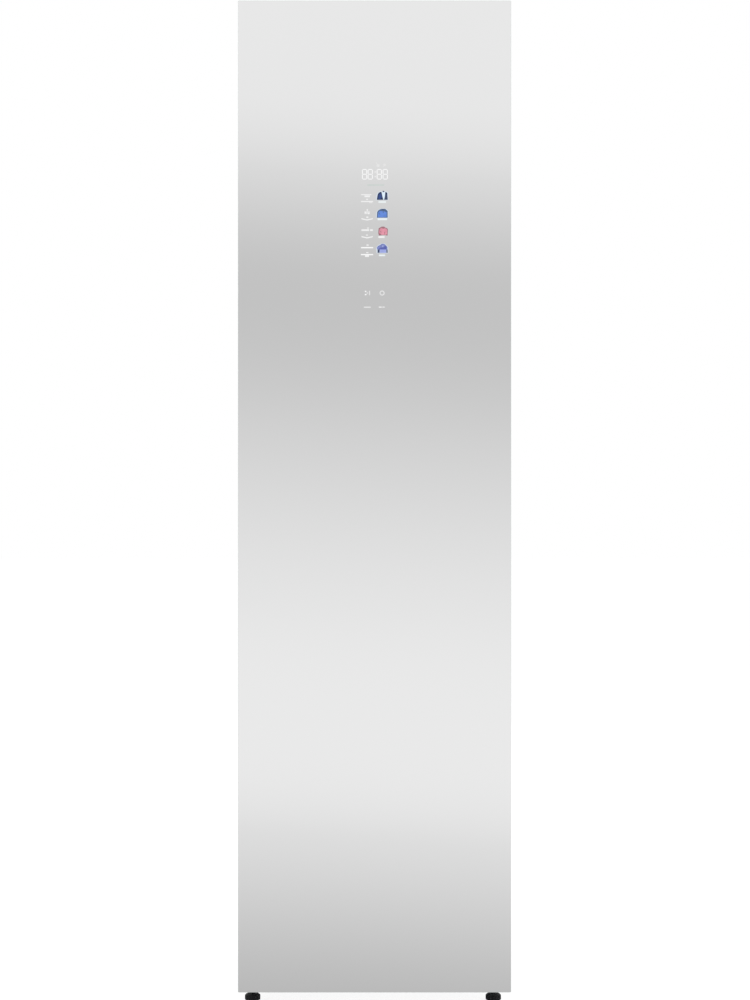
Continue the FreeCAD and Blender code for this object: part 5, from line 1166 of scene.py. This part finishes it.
def felt_pads(name, node, body, round_over, seed):
    """Cut felt: the solid's own form with soft, slightly uneven edges and faces."""
    bm = bmesh.new()
    bm.from_mesh(frame["nodes"][node].data)
    bmesh.ops.remove_doubles(bm, verts=bm.verts, dist=1e-6)
    bmesh.ops.dissolve_limit(bm, angle_limit=math.radians(1), verts=bm.verts[:], edges=bm.edges[:])
    bmesh.ops.bevel(
        bm, geom=[e for e in bm.edges if e.is_manifold and e.calc_face_angle(0) > FOLD_ANGLE],
        offset=round_over, segments=3, affect="EDGES", profile=0.5, clamp_overlap=True,
    )
    bmesh.ops.triangulate(bm, faces=bm.faces[:])
    for _ in range(5):
        long = [e for e in bm.edges if e.calc_length() > LONGEST_EDGE]
        if not long:
            break
        bmesh.ops.subdivide_edges(bm, edges=long, cuts=1)
        bmesh.ops.triangulate(bm, faces=[f for f in bm.faces if len(f.verts) > 3])
    bm.normal_update()
    rng = random.Random(seed)
    for vert in bm.verts:
        vert.co -= vert.normal * rng.uniform(0.0, UNEVEN_MM) * MM
    mesh = mesh_from(bm, 60)
    made = piece(name, mesh, body, [FINISHES["felt"]], [node])


felt_pads("chamber_felt", "insulation", "cabinet", 3 * MM, 4)
felt_pads("door_felt", "door_insulation", "door", 2 * MM, 5)


# ------------ floor, light and camera
def bare_tree(owner):
    """The emptied node tree of a material or a world."""
    owner.use_nodes = True
    owner.node_tree.nodes.clear()
    return Tree(owner.node_tree)


def path_masks(t):
    """Camera rays, and rays that shiny or clear surfaces send on."""
    ray = t.add("ShaderNodeLightPath").outputs
    return ray["Is Camera Ray"], t.plus(ray["Is Glossy Ray"], ray["Is Transmission Ray"])


FLOOR_REACH, FLOOR_DROP = 30.0, 0.2 * MM
FLOOR_TONE, FLOOR_SEEN_TONE, FLOOR_GLOW = 0.8, 0.26, 0.86


def pale_floor():
    """A plain pale floor that keeps a soft shadow."""
    bm = bmesh.new()
    bmesh.ops.create_grid(bm, x_segments=4, y_segments=4, size=FLOOR_REACH)
    mesh = bpy.data.meshes.new("floor")
    bm.to_mesh(mesh)
    bm.free()
    mesh.transform(placed(0.0, 0.0, -FLOOR_DROP))
    floor = linked("floor", mesh)
    material = bpy.data.materials.new("pale_floor")
    t = bare_tree(material)
    camera, onward = path_masks(t)
    lit_floor = t.add("ShaderNodeBsdfDiffuse", {"Color": grey(FLOOR_TONE)})
    thin = t.add("ShaderNodeBsdfDiffuse", {"Color": grey(FLOOR_SEEN_TONE)})
    glow = t.add("ShaderNodeEmission", {"Color": grey(1.0), "Strength": FLOOR_GLOW})
    seen = t.add("ShaderNodeAddShader", {0: thin, 1: glow})
    first = t.add("ShaderNodeMixShader", {0: camera, 1: lit_floor, 2: seen})
    clear = t.add("ShaderNodeBsdfTransparent")
    last = t.add("ShaderNodeMixShader", {0: onward, 1: first, 2: clear})
    t.add("ShaderNodeOutputMaterial", {"Surface": last})
    mesh.materials.append(material)


# Grey levels of the studio round the camera, by how steeply a ray rises.
STUDIO_LEVELS = (
    (-0.5, 0.74), (-0.3, 0.72), (-0.249, 0.32), (-0.154, 0.9), (-0.108, 0.91), (-0.052, 0.9),
    (0.029, 0.7), (0.099, 0.53), (0.148, 0.8), (0.181, 0.9), (0.3, 0.9), (0.5, 0.92),
)
DIFFUSE_LEVEL = 0.62
SIDEWAYS_TILT = 0.06


def studio_world():
    """White behind the object, soft grey bands in reflections, and an even level of light."""
    world = bpy.context.scene.world = bpy.data.worlds.new("studio")
    t = bare_tree(world)
    camera, onward = path_masks(t)
    ray = t.add("ShaderNodeTexCoord").outputs["Generated"]
    rise = t.plus(t.part_of(ray, "Z"), t.times(t.part_of(ray, "X"), SIDEWAYS_TILT))
    ramp = t.add("ShaderNodeValToRGB", {0: t.plus(rise, 0.5)})
    ramp.color_ramp.interpolation = "B_SPLINE"
    stops = ramp.color_ramp.elements
    for k, (place, level) in enumerate(STUDIO_LEVELS):
        # a new ramp has two stops
        stop = stops[k] if k < 2 else stops.new(place + 0.5)
        stop.position, stop.color = place + 0.5, grey(level)
    banded = t.add("ShaderNodeBackground", {"Color": ramp.outputs[0], "Strength": 1.0})
    even = t.add("ShaderNodeBackground", {"Color": grey(1.0), "Strength": DIFFUSE_LEVEL})
    white = t.add("ShaderNodeBackground", {"Color": grey(1.0), "Strength": 1.0})
    unseen = t.add("ShaderNodeMixShader", {0: onward, 1: even, 2: banded})
    seen = t.add("ShaderNodeMixShader", {0: camera, 1: unseen, 2: white})
    t.add("ShaderNodeOutputWorld", {"Surface": seen})


def soft_panel(name, place, aim, width, height, power):
    """A large soft light panel."""
    data = bpy.data.lights.new(name, "AREA")
    data.shape, data.size, data.size_y, data.energy = "RECTANGLE", width, height, power
    panel = linked(name, data)
    panel.location = place
    panel.rotation_euler = (Vector(aim) - Vector(place)).to_track_quat("-Z", "Y").to_euler()
    panel.visible_camera = panel.visible_glossy = False


def studio():
    middle = (0.0, 0.0, 0.95)
    soft_panel("key_panel", (-2.8, -3.2, 3.2), middle, 1.6, 1.6, 60)
    soft_panel("fill_panel", (3.2, -2.6, 2.2), middle, 1.4, 1.8, 30)
    soft_panel("top_panel", (0.0, 0.6, 4.2), middle, 2.4, 2.4, 18)
    soft_panel("back_panel", (1.6, 3.6, 2.6), middle, 1.8, 1.8, 45)


CAMERA_PLACE = (0.0008, -4.265, 0.9355)
CAMERA_LENS = 78.08


def camera():
    data = bpy.data.cameras.new("camera")
    data.sensor_fit, data.sensor_width, data.lens = "AUTO", 36.0, CAMERA_LENS
    viewer = linked("camera", data)
    viewer.location = CAMERA_PLACE
    viewer.rotation_euler = (math.pi / 2, 0.0, 0.0)
    bpy.context.scene.camera = viewer


pale_floor()
studio_world()
studio()
camera()
bpy.context.scene.view_settings.view_transform = "Standard"
